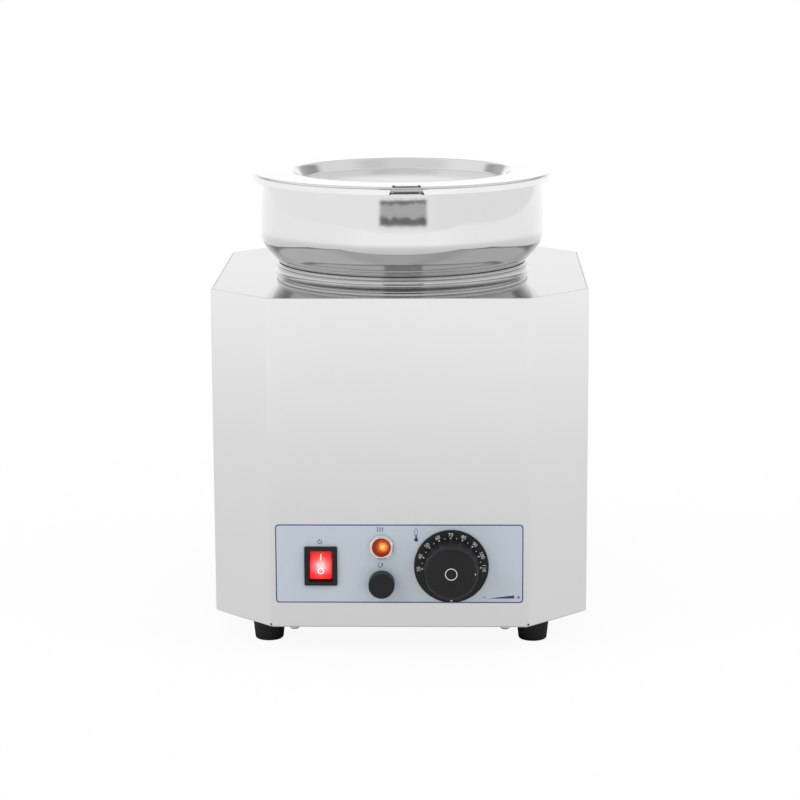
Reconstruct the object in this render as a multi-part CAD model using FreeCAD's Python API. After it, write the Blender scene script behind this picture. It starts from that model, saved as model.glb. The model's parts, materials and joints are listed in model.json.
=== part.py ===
# Chocolate melter: a well heated from below stands in an octagonal sheet-metal body, and a
# bellied pot with a dished lid hangs in the well.
# Millimetres. The origin is on the floor under the body's axis, +Z is up, the front is at -Y
# and +X is to the right of someone facing the controls.
import FreeCAD, Part
import math
import os

Vec = FreeCAD.Vector

# Body, over its flats, and the 45 degree corners
BODY_WIDTH = 290.0
BODY_DEPTH = 290.0
BODY_HEIGHT = 255.0
CORNER_LEG = 46.0
WALL_T = 1.2
BEND_R = 2.6
FOLD_SHARE = 0.35
FLANGE_WIDTH = 14.0
RELIEF_MOUTH = 2.6
RELIEF_SLIT = 0.8
WINDOW_SKIRT_GAP = 4.0

# Feet and bottom plate
FOOT_HEIGHT = 19.5
FOOT_TOP_R = 13.0
FOOT_BOTTOM_R = 10.9
FOOT_BORE_R = 4.6
FOOT_EDGE = 1.5
FOOT_BORE_DEPTH = 11.5
FOOT_OFFSET = 103.0
BASE_T = 1.0
BASE_INSET = 4.0
BASE_SCREW_INSET = 18.0
BASE_SCREW_STEP = 1.0
BASE_SCREW = 6.0
VENT_LENGTH = 34.0
VENT_WIDTH = 4.0
VENT_PITCH = 11.0
VENT_COUNT = 6

# Rear panel and its pressed louvres
REAR_T = 1.0
REAR_MARGIN = 1.2
REAR_SCREW = 8.0
LOUVRE_LENGTH = 44.0
LOUVRE_R = 5.0
LOUVRE_TAPER = 1.6
LOUVRE_PITCH = 17.0
LOUVRE_ROWS = 4
LOUVRE_X = 40.0
LOUVRE_LOW = 118.0

# Deck, a pan that nests inside the top of the wall
DECK_T = 1.2
DECK_GAP = 0.3
DECK_BEND_R = 2.2
DECK_SKIRT = 14.0
NECK_FILLET_R = 4.0
NECK_HEIGHT = 5.4

# Well, and the room for the controls left under it
WELL_R = 97.0
WELL_T = 1.0
WELL_ROOM = 105.0
WELL_CORNER_R = 10.0
WELL_BEAD_R = 1.6
WELL_NECK_GAP = 0.1

# Pot, which rests with its shoulder on the well's bead
POT_T = 1.0
POT_WELL_GAP = 2.5
POT_BELLY_R = 113.3
POT_FLOOR_GAP = 7.0
POT_CORNER_R = 5.0
POT_FLARE_R = 8.0
POT_SHOULDER_DEG = 48.0
POT_SHOULDER_R = 25.0
POT_SIDE_R = 290.0
POT_BELLY_RUN = 0.5
POT_BEAD_R = 1.6
POT_RIM_HEIGHT = 79.2
SEAT_GAP = 0.3

# Lid
LID_R = 119.5
LID_T = 1.0
LID_LIP = 6.0
LID_EDGE_R = 2.2
LID_RING_IN_R = 93.8
LID_STEP_R = 6.4
LID_STEP_DROP = 8.6
LID_STEP_TOE_R = 2.4
LID_FLOOR_DROP = 11.4
LID_FLOOR_R = 71.6
LID_FLOOR_EDGE_R = 6.0
NOTCH_WIDTH = 21.5
NOTCH_DEPTH = 16.0
NOTCH_FLARE = 2.8
NOTCH_CORNER_R = 4.0
NOTCH_TURN_DEG = 3.0
NOTCH_OVERCUT = 6.0

# Heater under the well
SPREADER_R = 82.0
SPREADER_T = 6.0
ELEMENT_RING_R = 55.0
ELEMENT_R = 4.0
ELEMENT_GAP_DEG = 50.0
ELEMENT_ELBOW_R = 10.0
ELEMENT_LEG = 16.0
ELEMENT_PIN_R = 2.0
ELEMENT_PIN = 12.0
CLAMP_R = 70.0
CLAMP_T = 1.5
CLAMP_SLOT_GAP = 8.0
CLAMP_SLOT_R = 4.0
HEATER_STUD_R = 4.0
HEATER_STUD = 24.0
HEATER_NUT_AF = 13.0
HEATER_NUT_T = 6.5

# Blanket round the well, with a split for the two bulbs
BLANKET_T = 17.0
BLANKET_GAP = 0.5
BLANKET_TOP_GAP = 6.0
BLANKET_BOTTOM = 12.0
SPLIT_WIDTH = 40.0
SPLIT_DEG = -45.0
BULB_R = 3.0
BULB_LENGTH = 76.0
BULB_SPACING = 15.0
BULB_RISE = 18.0
BULB_END_R = 1.8
BULB_GAP = 0.2
CAPILLARY_R = 0.9
CAPILLARY_BEND_R = 9.0
CAPILLARY_DROP = 14.0
CAPILLARY_STAGGER = 4.0
CLIP_T = 0.6
CLIP_HEIGHT = 14.0
CLIP_SIDE = 6.0
CLIP_MARGIN = 1.4
CLIP_RUN = 1.0
CLIP_LIFT = 1.2
CLIP_BEND_R = 1.5
CLIP_GAP = 0.3
CLIP_WELL_GAP = 0.1

# Controls: places across the front, and heights above the lower edge of the body
LABEL_WIDTH = 190.0
LABEL_HEIGHT = 62.5
LABEL_LOW = 19.0
LABEL_T = 0.25
LABEL_CORNER_R = 3.0
SWITCH_X = -59.9
SWITCH_Z = 48.5
LAMP_X = -13.5
LAMP_Z = 63.5
LIMITER_X = -13.5
LIMITER_Z = 35.0
DIAL_X = 39.7
DIAL_Z = 48.5

# Rocker switch
SWITCH_BEZEL = (25.2, 30.6)
SWITCH_BEZEL_T = 2.0
SWITCH_BODY = (21.8, 27.8)
SWITCH_BODY_DEPTH = 24.0
SWITCH_EDGE_R = 0.6
SWITCH_MOUTH = (17.3, 24.0)
SWITCH_MOUTH_FLOOR = 5.0
SWITCH_MOUTH_R = 0.8
EAR_WIDTH = 8.0
EAR_LENGTH = 6.9
EAR_OUT = 1.3
EAR_LEAD = 0.3
EAR_GAP = 0.1
CUTOUT_GAP = 0.2
ROCKER_WIDTH = 16.5
ROCKER_HALF = 10.7
ROCKER_FRONT = 6.5
ROCKER_HOLLOW = 1.6
ROCKER_BACK = 2.0
ROCKER_DRAFT = 0.5
ROCKER_TILT = 9.0
PIVOT_DEPTH = 7.0
PIVOT_R = 1.5
PIVOT_CLEARANCE = 0.05
PIVOT_LENGTH = 1.6
PIVOT_END_GAP = 0.2
BLADE = (6.3, 0.8, 8.0)
SWITCH_BLADES = (5.0, 7.0)

# Pilot lamp
LAMP_BEZEL_R = 9.4
LAMP_BEZEL_T = 2.6
LAMP_EDGE_R = 1.4
LAMP_LENS_R = 7.1
LAMP_LENS_DOME = 3.8
LAMP_LENS_RIM = 1.6
LAMP_SHELF_T = 0.6
LAMP_STEM = 4.0
LAMP_GAP = 0.1
LAMP_THREAD_R = 6.8
LAMP_BORE_R = 5.9
LAMP_THREAD = 12.0
LAMP_HOLDER = 24.0
LAMP_BLADE = 3.0
LAMP_NUT_AF = 17.0
LAMP_NUT_T = 3.0

# Over-temperature limiter with a reset pin under a screw cap
LIMITER_BODY = (36.0, 34.0, 28.0)
LIMITER_BLADE = 9.0
LIMITER_TUBE = (15.5, 20.0)
CONTROL_EDGE_R = 2.0
HUB_R = 5.0
HUB_OUT = 6.5
HUB_NUT_AF = 14.0
HUB_NUT_T = 2.5
PIN_R = 2.0
PIN_CLEARANCE = 0.06
PIN_OUT = 1.5
PIN_IN = 8.0
PIN_TRAVEL = 3.0
PIN_EDGE = 0.6
CAP_R = 10.0
CAP_LENGTH = 10.0
CAP_EDGE_R = 1.2
CAP_GAP = 0.1
CAP_THREAD_GAP = 0.08
CAP_NUT_GAP = 0.5
CAP_TOP_GAP = 0.6

# Thermostat, its dial and knob
THERMOSTAT_BODY = (42.0, 34.0, 30.0)
THERMOSTAT_BLADES = (12.0, 6.0)
THERMOSTAT_TUBE = (12.0, 16.0)
THERMOSTAT_HOLE = 8.0
THERMOSTAT_SCREW = 7.0
BUSH_R = 4.5
SHAFT_R = 3.0
SHAFT_CLEARANCE = 0.05
SHAFT_OUT = 22.0
SHAFT_IN = 18.0
SHAFT_FLAT = 0.8
SHAFT_FLAT_LENGTH = 12.0
SHAFT_END_GAP = 0.2
SHAFT_FLAT_GAP = 0.5
SCREW_SPACING = 28.0
DIAL_R = 28.5
DIAL_T = 2.0
DIAL_EDGE_R = 0.7
DIAL_BORE_GAP = 0.1
DIAL_HOLE_GAP = 0.05
KNOB_GAP = 0.3
KNOB_BASE_R = 21.5
KNOB_FACE_R = 20.0
KNOB_OUT = 25.0
KNOB_EDGE_R = 3.0
KNOB_WALL = 2.4
KNOB_HUB_R = 6.0
KNOB_HUB_STEP = 1.0
KNOB_RIB_LOW = 12.5
KNOB_RIB_T = 1.6
KNOB_RIBS = 4
KNOB_DIMPLE_R = 2.6
KNOB_DIMPLE_DEPTH = 0.4
KNOB_DIMPLE_DROP = 9.5

# Cable gland at the back
GLAND_X = -60.0
GLAND_Z = 30.0
GLAND_THREAD_R = 8.0
GLAND_BORE_R = 3.6
GLAND_BORE_GAP = 0.8
GLAND_AF = 20.0
GLAND_FLANGE_T = 5.0
GLAND_OUT = 25.0
GLAND_GRIP = 9.0
GLAND_NUT_GAP = 0.5
GLAND_THREAD_GAP = 0.3
GLAND_NOSE_R = 7.0
GLAND_NOSE_EDGE_R = 2.0
GLAND_IN = 10.0
GLAND_SEAL_R = 6.4
GLAND_SEAL = 9.0
GLAND_SEAL_GAP = 0.1
GLAND_SEAL_PROUD = 0.2
GLAND_LOCKNUT_AF = 22.0
GLAND_LOCKNUT_T = 4.0

# Terminal block and earth stud on the bottom plate
BLOCK = (34.0, 20.0, 16.0)
BLOCK_PLACE = (-60.0, 88.0)
BLOCK_WAYS = 3
BLOCK_PITCH = 9.0
BLOCK_HOLE_R = 2.2
BLOCK_HOLE_Z = 7.0
BLOCK_CLAMP = (5.5, 4.0)
BLOCK_CLAMP_Z = 8.0
BLOCK_HEAD_R = 2.6
BLOCK_HEAD_T = 1.6
EARTH_PLACE = (-12.0, 112.0)
EARTH_R = 2.5
EARTH_LENGTH = 16.0
EARTH_NUT_AF = 8.0
EARTH_NUT_T = 3.2

# Fasteners
M4_R = 2.0
M4_HEAD_R = 3.9
M4_HEAD_T = 2.2
M4_HEAD_SIDE = 1.1
M4_CROWN_R = 2.73
M4_SUNK_R = 3.6
M4_SUNK_T = 1.6
M4_SINK = 0.1
M4_SEAT_R = 3.8
M4_SEAT_T = 1.8
M4_NUT_AF = 7.0
M4_NUT_T = 3.2
THREAD_END = 1.5
HOLE_CLEARANCE = 0.25

# What follows from the sizes above
BODY_LOW = FOOT_HEIGHT + BASE_T
DECK_Z = BODY_LOW + BODY_HEIGHT
FRONT_Y = -BODY_DEPTH / 2
BACK_Y = BODY_DEPTH / 2
WELL_OUT_R = WELL_R + WELL_T
NECK_R = WELL_OUT_R + WELL_NECK_GAP
WELL_FLOOR_Z = BODY_LOW + WELL_ROOM
POT_LOW_R = WELL_R - POT_WELL_GAP
HEATER_TOP_Z = WELL_FLOOR_Z - WELL_T
CLAMP_TOP_Z = HEATER_TOP_Z - SPREADER_T - 2 * ELEMENT_R


def box(x, y, z):
    """Block between the two values of each range."""
    low = Vec(min(x), min(y), min(z))
    return Part.makeBox(abs(x[1] - x[0]), abs(y[1] - y[0]), abs(z[1] - z[0]), low)


def rod(radius, z_low, z_high, x=0.0, y=0.0):
    """Upright cylinder between two heights."""
    return Part.makeCylinder(radius, z_high - z_low, Vec(x, y, z_low))


def tube(outer, inner, z_low, z_high, x=0.0, y=0.0):
    """Upright tube between two heights."""
    return rod(outer, z_low, z_high, x, y).cut(rod(inner, z_low - 1, z_high + 1, x, y))


def hexagon(across_flats, z_low, z_high, x=0.0, y=0.0):
    """Upright hexagonal prism."""
    corner_r = across_flats / math.sqrt(3)
    corners = [Vec(x + corner_r * math.cos(math.radians(60 * k)),
                   y + corner_r * math.sin(math.radians(60 * k)), z_low) for k in range(6)]
    return prism(corners, z_high - z_low)


def prism(corners, height):
    """Upright prism over a closed outline of corners."""
    face = Part.Face(Part.makePolygon(corners + corners[:1]))
    return face.extrude(Vec(0, 0, height))


def upright_edges(solid):
    """Straight edges that run along Z."""
    found = []
    for edge in solid.Edges:
        if isinstance(edge.Curve, Part.Line) and abs(edge.Curve.Direction.z) > 0.999:
            found.append(edge)
    return found


def edges_at(solid, height):
    """Edges that lie wholly at one height."""
    return [edge for edge in solid.Edges
            if abs(edge.BoundBox.ZMin - height) < 1e-3 and abs(edge.BoundBox.ZMax - height) < 1e-3]


def rounded_path(points, radii):
    """Wire of straight runs through the points, with a tangent arc of the given radius at each
    inner point; a radius of 0 leaves a sharp corner."""
    edges = []
    start = points[0]

    def run_to(end):
        if start.distanceToPoint(end) > 1e-6:
            edges.append(Part.makeLine(start, end))

    for before, corner, after, radius in zip(points, points[1:], points[2:], radii):
        if radius == 0:
            run_to(corner)
            start = corner
            continue
        back = (before - corner).normalize()
        ahead = (after - corner).normalize()
        half_turn = back.getAngle(ahead) / 2
        reach = radius / math.tan(half_turn)
        inward = (back + ahead).normalize()
        arc_start = corner + back * reach
        arc_end = corner + ahead * reach
        arc_mid = corner + inward * (radius / math.sin(half_turn) - radius)
        run_to(arc_start)
        edges.append(Part.Arc(arc_start, arc_mid, arc_end).toShape())
        start = arc_end
    run_to(points[-1])
    return edges


def section(pairs):
    """Face in the XZ plane over a closed outline of (radius, height) pairs."""
    points = [Vec(r, 0, z) for r, z in pairs]
    return Part.Face(Part.makePolygon(points + points[:1]))


def spun(face):
    """Full turn of a face in the XZ plane about Z."""
    return face.revolve(Vec(0, 0, 0), Vec(0, 0, 1), 360)


def spun_sheet(edges, thickness, bead=None):
    """Sheet of even thickness spun about Z, with a wired rim of section `bead` if one is given;
    a positive thickness lies to the left of the line."""
    sheet = Part.Wire(edges).makeOffset2D(thickness, 0, True, True, False)
    if bead:
        sheet = sheet.fuse(bead).removeSplitter().Faces[0]
    return spun(sheet)


def wire_section(radius, centre_r, centre_z):
    """Eight-sided section of a rim rolled round a wire, facing the same way as a sheet's section
    so that the two join."""
    corner_r = radius / math.cos(math.radians(22.5))
    angles = [math.radians(22.5 - 45 * k) for k in range(8)]
    return section([(centre_r + corner_r * math.cos(a), centre_z + corner_r * math.sin(a))
                    for a in angles])


def bent_tube(points, radii, radius):
    """Thin tube along a rounded path that starts upright, as an eight-sided section."""
    path = Part.Wire(rounded_path(points, radii))
    return path.makePipeShell([eight_sided(radius, points[0], Vec(0, 0, 1))], True, True)


def eight_sided(radius, centre, normal):
    """Outline of an eight-sided section that stands for a small round one."""
    ring = Part.makeCircle(radius, centre, normal)
    corners = ring.discretize(Number=9)[:8]
    return Part.makePolygon(corners + corners[:1])


def on_front(shape, x, height):
    """Place a control that was drawn with its panel face at z = 0 and its outside at +Z."""
    placed = shape.copy()
    placed.rotate(Vec(0, 0, 0), Vec(1, 0, 0), 90)
    placed.translate(Vec(x, FRONT_Y, BODY_LOW + height))
    return placed


def on_back(shape, x, height):
    """Place a piece that was drawn with its panel face at z = 0 and its outside at +Z."""
    placed = shape.copy()
    placed.rotate(Vec(0, 0, 0), Vec(1, 0, 0), -90)
    placed.translate(Vec(x, BACK_Y, BODY_LOW + height))
    return placed


def pan_screw(length):
    """Pan-head screw whose head stands on z = 0 and whose shank goes down."""
    return spun(section([(0, -length), (M4_R, -length), (M4_R, 0), (M4_HEAD_R, 0),
                         (M4_HEAD_R, M4_HEAD_SIDE), (M4_CROWN_R, M4_HEAD_T),
                         (0, M4_HEAD_T)]))


def wall_corners(inset, height, back_step=REAR_T):
    """Corners of the octagon seen from above, moved in by an inset; its back is stepped in so
    that the rear panel lies flush."""
    bevel = inset * (math.sqrt(2) - 1)
    side_x = BODY_WIDTH / 2 - inset
    front_y = BODY_DEPTH / 2 - inset
    flat_x = BODY_WIDTH / 2 - CORNER_LEG - bevel
    flat_y = BODY_DEPTH / 2 - CORNER_LEG - bevel
    back_x = flat_x + back_step
    back_y = front_y - back_step
    return [Vec(-flat_x, -front_y, height), Vec(flat_x, -front_y, height),
            Vec(side_x, -flat_y, height), Vec(side_x, flat_y, height),
            Vec(back_x, back_y, height), Vec(-back_x, back_y, height),
            Vec(-side_x, flat_y, height), Vec(-side_x, -flat_y, height)]


def bent_shell(inset, thickness, z_low, z_high, bend, closed_low):
    """Octagonal pan of bent sheet with its floor at the bottom or at the top, and a short bevel
    for the tight fold round the floor."""
    outer = prism(wall_corners(inset, z_low), z_high - z_low)
    outer = outer.makeFillet(bend, upright_edges(outer))
    floor = z_low if closed_low else z_high
    outer = outer.makeChamfer(bend * FOLD_SHARE, edges_at(outer, floor))
    inner_low = z_low + thickness if closed_low else z_low - 1
    inner_high = z_high + 1 if closed_low else z_high - thickness
    inner = prism(wall_corners(inset + thickness, inner_low), inner_high - inner_low)
    inner = inner.makeFillet(bend - thickness, upright_edges(inner))
    return outer.cut(inner)


def corner_reliefs(inset, z_low, z_high, reach):
    """Slits with a wider mouth that a bent sheet has where two flanges meet at a corner."""
    corners = wall_corners(inset, z_low)
    cuts = []
    for before, corner, after in zip(corners[-1:] + corners, corners, corners[1:] + corners[:1]):
        inward = ((before - corner).normalize() + (after - corner).normalize()).normalize()
        slit = box((-1, reach), (-RELIEF_SLIT / 2, RELIEF_SLIT / 2), (0, z_high - z_low))
        mouth = box((-1, RELIEF_MOUTH), (-RELIEF_MOUTH / 2, RELIEF_MOUTH / 2), (0, z_high - z_low))
        slit = slit.fuse(mouth)
        slit.rotate(Vec(0, 0, 0), Vec(0, 0, 1), math.degrees(math.atan2(inward.y, inward.x)))
        slit.translate(corner)
        cuts.append(slit)
    return cuts


def rear_screw_places():
    """Places of the rear panel's screws, (x, height above the lower edge)."""
    side = wall_corners(0, 0)[4].x - FLANGE_WIDTH / 2
    rows = (FLANGE_WIDTH, BODY_HEIGHT - DECK_SKIRT - FLANGE_WIDTH / 2)
    return [(sign * side, row) for sign in (-1, 1) for row in rows]


def bottom_screw_places():
    """Places of the bottom plate's screws: two near its front edge and two near its back."""
    along = BODY_WIDTH / 2 - CORNER_LEG - BASE_SCREW_INSET
    across = BODY_DEPTH / 2 - FLANGE_WIDTH / 2 - BASE_SCREW_STEP
    return [(sx * along, sy * across) for sx in (-1, 1) for sy in (-1, 1)]


def foot_places():
    """Name and place of each foot."""
    return [(f"foot_{end}_{side}", sx * FOOT_OFFSET, sy * FOOT_OFFSET)
            for end, sy in (("front", -1), ("rear", 1)) for side, sx in (("left", -1), ("right", 1))]


def control_cuts(depth):
    """Holes through the front wall and the label for the four controls."""
    width, height = SWITCH_BODY
    half_w = width / 2 + CUTOUT_GAP
    half_h = height / 2 + CUTOUT_GAP
    switch = box((-half_w, half_w), (-half_h, half_h), (-depth, depth))
    lamp = rod(LAMP_THREAD_R + CUTOUT_GAP, -depth, depth)
    hub = rod(HUB_R + CUTOUT_GAP, -depth, depth)
    dial = rod(BUSH_R + CUTOUT_GAP, -depth, depth)
    for sign in (-1, 1):
        dial = dial.fuse(rod(M4_R + HOLE_CLEARANCE, -depth, depth, sign * SCREW_SPACING / 2))
    return [on_front(switch, SWITCH_X, SWITCH_Z), on_front(lamp, LAMP_X, LAMP_Z),
            on_front(hub, LIMITER_X, LIMITER_Z), on_front(dial, DIAL_X, DIAL_Z)]


def body_wall():
    """One bent sheet round the octagon, with a flange turned in all round the bottom and a
    service window in its stepped back."""
    wall = bent_shell(0, WALL_T, BODY_LOW, DECK_Z, BEND_R, True)
    opening = prism(wall_corners(FLANGE_WIDTH, BODY_LOW - 1), WALL_T + 2)
    back_x = wall_corners(0, 0)[4].x - FLANGE_WIDTH
    window = box((-back_x, back_x), (BACK_Y - FLANGE_WIDTH, BACK_Y + 1),
                 (BODY_LOW + FLANGE_WIDTH, DECK_Z - DECK_SKIRT - WINDOW_SKIRT_GAP))
    cuts = [opening, window] + control_cuts(WALL_T + 2)
    cuts += corner_reliefs(0, BODY_LOW - 1, BODY_LOW + BEND_R, FLANGE_WIDTH * math.sqrt(2))
    for x, height in rear_screw_places():
        cuts.append(on_back(rod(M4_R, -WALL_T - REAR_T - 2, 0), x, height))
    for x, y in bottom_screw_places():
        cuts.append(rod(M4_R, BODY_LOW - 1, BODY_LOW + WALL_T + 1, x, y))
    return wall.cut(Part.makeCompound(cuts))


def louvre(x, height):
    """Hood of one louvre and the slot behind it: a quarter of a bar with tapered ends, pressed
    out of the panel and open along its lower edge."""
    half = LOUVRE_LENGTH / 2

    def quarter_bar(radius, back):
        taper = radius * LOUVRE_TAPER
        bar = Part.makeCylinder(radius, 2 * half, Vec(-half, 0, 0), Vec(1, 0, 0))
        ends = [Part.makeCone(radius, 0, taper, Vec(sign * half, 0, 0), Vec(sign, 0, 0))
                for sign in (-1, 1)]
        keep = box((-half - taper, half + taper), (0, radius), (0, radius))
        quarter = bar.fuse(ends).common(keep)
        quarter.translate(Vec(0, back, 0))
        return quarter

    inner_r = LOUVRE_R - REAR_T
    hood = quarter_bar(LOUVRE_R, 0).cut(quarter_bar(inner_r, 0))
    slot = box((-half, half), (-REAR_T - 1, 1), (0, inner_r))
    place = Vec(x, BACK_Y, BODY_LOW + height)
    hood.translate(place)
    slot.translate(place)
    return hood, slot


def rear_panel():
    """Flush cover over the service window, with two columns of louvres and the gland hole."""
    half = BODY_WIDTH / 2 - CORNER_LEG - REAR_MARGIN
    panel = box((-half, half), (BACK_Y - REAR_T, BACK_Y),
                (BODY_LOW + REAR_MARGIN, DECK_Z - REAR_MARGIN))
    cuts = [on_back(rod(GLAND_THREAD_R + CUTOUT_GAP, -REAR_T - 1, 1), GLAND_X, GLAND_Z)]
    for x, height in rear_screw_places():
        cuts.append(on_back(rod(M4_R + HOLE_CLEARANCE, -REAR_T - 1, 1), x, height))
    hoods = []
    for column in (-LOUVRE_X, LOUVRE_X):
        for row in range(LOUVRE_ROWS):
            hood, slot = louvre(column, LOUVRE_LOW + row * LOUVRE_PITCH)
            hoods.append(hood)
            cuts.append(slot)
    return panel.fuse(hoods).cut(Part.makeCompound(cuts))


def rear_panel_screws():
    """Pan-head screws through the corners of the rear panel."""
    return Part.makeCompound([on_back(pan_screw(REAR_SCREW), x, height)
                              for x, height in rear_screw_places()])


def bottom_plate():
    """Flat plate under the flange, set in from the edge, with two rows of vent slots."""
    plate = prism(wall_corners(BASE_INSET, FOOT_HEIGHT), BASE_T)
    cuts = []
    for x, y in bottom_screw_places():
        cuts.append(rod(M4_R + HOLE_CLEARANCE, FOOT_HEIGHT - 1, BODY_LOW + 1, x, y))
    for _, x, y in foot_places():
        cuts.append(rod(M4_R + HOLE_CLEARANCE, FOOT_HEIGHT - 1, BODY_LOW + 1, x, y))
    cuts.append(rod(EARTH_R, FOOT_HEIGHT - 1, BODY_LOW + 1, *EARTH_PLACE))
    for sign in (-1, 1):
        for row in range(VENT_COUNT):
            x = sign * (VENT_LENGTH / 2 + VENT_PITCH)
            y = (row - (VENT_COUNT - 1) / 2) * VENT_PITCH
            slot = box((x - VENT_LENGTH / 2, x + VENT_LENGTH / 2),
                       (y - VENT_WIDTH / 2, y + VENT_WIDTH / 2), (FOOT_HEIGHT - 1, BODY_LOW + 1))
            cuts.append(slot)
    return plate.cut(Part.makeCompound(cuts))


def bottom_screws():
    """Pan-head screws up through the bottom plate into the flange."""
    screws = []
    for x, y in bottom_screw_places():
        screw = pan_screw(BASE_SCREW)
        screw.rotate(Vec(0, 0, 0), Vec(1, 0, 0), 180)
        screw.translate(Vec(x, y, FOOT_HEIGHT))
        screws.append(screw)
    return Part.makeCompound(screws)


def foot(x, y):
    """Tapered rubber foot with a counterbore for its screw."""
    body = spun(section([(FOOT_BORE_R, 0), (FOOT_BOTTOM_R - FOOT_EDGE, 0), (FOOT_BOTTOM_R, FOOT_EDGE),
                         (FOOT_TOP_R, FOOT_HEIGHT), (M4_R, FOOT_HEIGHT), (M4_R, FOOT_BORE_DEPTH),
                         (FOOT_BORE_R, FOOT_BORE_DEPTH)]))
    body.translate(Vec(x, y, 0))
    return body


def foot_screws():
    """Screws up through the feet and the bottom plate."""
    screws = []
    length = FOOT_HEIGHT - FOOT_BORE_DEPTH + BASE_T + M4_NUT_T + THREAD_END
    for _, x, y in foot_places():
        screw = pan_screw(length)
        screw.rotate(Vec(0, 0, 0), Vec(1, 0, 0), 180)
        screw.translate(Vec(x, y, FOOT_BORE_DEPTH))
        screws.append(screw)
    return Part.makeCompound(screws)


def nut(across_flats, bore_r, z_low, z_high, x=0.0, y=0.0):
    """Hexagonal nut with its bore."""
    return hexagon(across_flats, z_low, z_high, x, y).cut(rod(bore_r, z_low - 1, z_high + 1, x, y))


def foot_nuts():
    """Nuts of the foot screws, on the bottom plate."""
    return Part.makeCompound([nut(M4_NUT_AF, M4_R, BODY_LOW, BODY_LOW + M4_NUT_T, x, y)
                              for _, x, y in foot_places()])


def deck():
    """Polished pan that nests in the wall, its hole drawn up into a short neck for the well."""
    inset = WALL_T + DECK_GAP
    pan = bent_shell(inset, DECK_T, DECK_Z - DECK_SKIRT, DECK_Z, DECK_BEND_R, False)
    pan = pan.cut(rod(NECK_R + DECK_T + NECK_FILLET_R, DECK_Z - DECK_SKIRT, DECK_Z + 1))
    reach = NECK_R + DECK_T + NECK_FILLET_R
    line = rounded_path([Vec(reach, 0, DECK_Z), Vec(NECK_R + DECK_T, 0, DECK_Z),
                         Vec(NECK_R + DECK_T, 0, DECK_Z + NECK_HEIGHT)], [NECK_FILLET_R])
    neck = spun_sheet(line, DECK_T)
    top_reliefs = corner_reliefs(inset, DECK_Z - DECK_SKIRT - 1, DECK_Z - DECK_T / 2, DECK_T + 1)
    return pan.fuse(neck).cut(Part.makeCompound(top_reliefs)).removeSplitter()


def bead_height():
    """Height of the centre of the well's rolled rim, which stands on the deck's neck."""
    return DECK_Z + NECK_HEIGHT + WELL_BEAD_R


def bead_r():
    """Radius of the centre line of the well's rolled rim, just outside the tank's wall."""
    return WELL_OUT_R + WELL_BEAD_R - WELL_T / 2


def well():
    """Drawn tank, open at the top, with a wired rim rolled outwards over the neck."""
    bead_z = bead_height()
    edges = rounded_path([Vec(0, 0, HEATER_TOP_Z), Vec(WELL_OUT_R, 0, HEATER_TOP_Z),
                          Vec(WELL_OUT_R, 0, bead_z)], [WELL_CORNER_R + WELL_T])
    return spun_sheet(edges, WELL_T, wire_section(WELL_BEAD_R, bead_r(), bead_z))


def pot_floor_z():
    """Underside of the pot's floor."""
    return WELL_FLOOR_Z + POT_FLOOR_GAP


def pot_outline():
    """Outer line of the pot, from the centre of its floor up to its rim. The shoulder is a cone
    that clears the well's bead by the seat gap, and the belly is tangent to it."""
    slope = math.radians(POT_SHOULDER_DEG)
    clear = WELL_BEAD_R + SEAT_GAP
    seat_r = bead_r() - clear * math.sin(slope)
    seat_z = bead_height() + clear * math.cos(slope)

    def cone_z(radius):
        return seat_z + (radius - seat_r) * math.tan(slope)

    belly_z = cone_z(POT_BELLY_R) + POT_SHOULDER_R * math.tan((math.pi / 2 - slope) / 2)
    points = [Vec(0, 0, pot_floor_z()), Vec(POT_LOW_R, 0, pot_floor_z()),
              Vec(POT_LOW_R, 0, cone_z(POT_LOW_R)), Vec(POT_BELLY_R, 0, cone_z(POT_BELLY_R)),
              Vec(POT_BELLY_R, 0, belly_z + POT_BELLY_RUN)]
    edges = rounded_path(points, [POT_CORNER_R, POT_FLARE_R, POT_SHOULDER_R])
    start = points[-1]
    rise = DECK_Z + POT_RIM_HEIGHT - POT_BEAD_R - start.z

    def side(height):
        lean = POT_SIDE_R - math.sqrt(POT_SIDE_R ** 2 - height ** 2)
        return Vec(POT_BELLY_R - lean, 0, start.z + height)

    edges.append(Part.Arc(start, side(rise / 2), side(rise)).toShape())
    return edges, side(rise)


def pot():
    """Spun pot that hangs in the well by its shoulder, with a wired rim."""
    edges, rim = pot_outline()
    return spun_sheet(edges, POT_T, wire_section(POT_BEAD_R, rim.x + POT_BEAD_R - POT_T, rim.z))


def lid_notch(top_z):
    """Cut for the ladle: a round-cornered slot in the ring that widens down the lip."""
    half = NOTCH_WIDTH / 2
    low_z = top_z - LID_LIP - NOTCH_OVERCUT
    slot = box((-half, half), (-LID_R - NOTCH_OVERCUT, -LID_R + NOTCH_DEPTH),
               (low_z, top_z + NOTCH_OVERCUT))
    inner = [edge for edge in upright_edges(slot) if edge.BoundBox.YMax > -LID_R]
    slot = slot.makeFillet(NOTCH_CORNER_R, inner)
    lip = [Vec(-half, 0, top_z), Vec(half, 0, top_z), Vec(half + NOTCH_FLARE, 0, top_z - LID_LIP),
           Vec(half + NOTCH_FLARE, 0, low_z), Vec(-half - NOTCH_FLARE, 0, low_z),
           Vec(-half - NOTCH_FLARE, 0, top_z - LID_LIP)]
    flare = Part.Face(Part.makePolygon(lip + lip[:1])).extrude(Vec(0, NOTCH_OVERCUT + LID_EDGE_R, 0))
    flare.translate(Vec(0, -LID_R - NOTCH_OVERCUT, 0))
    cut = slot.fuse(flare)
    cut.rotate(Vec(0, 0, 0), Vec(0, 0, 1), NOTCH_TURN_DEG)
    return cut


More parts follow.
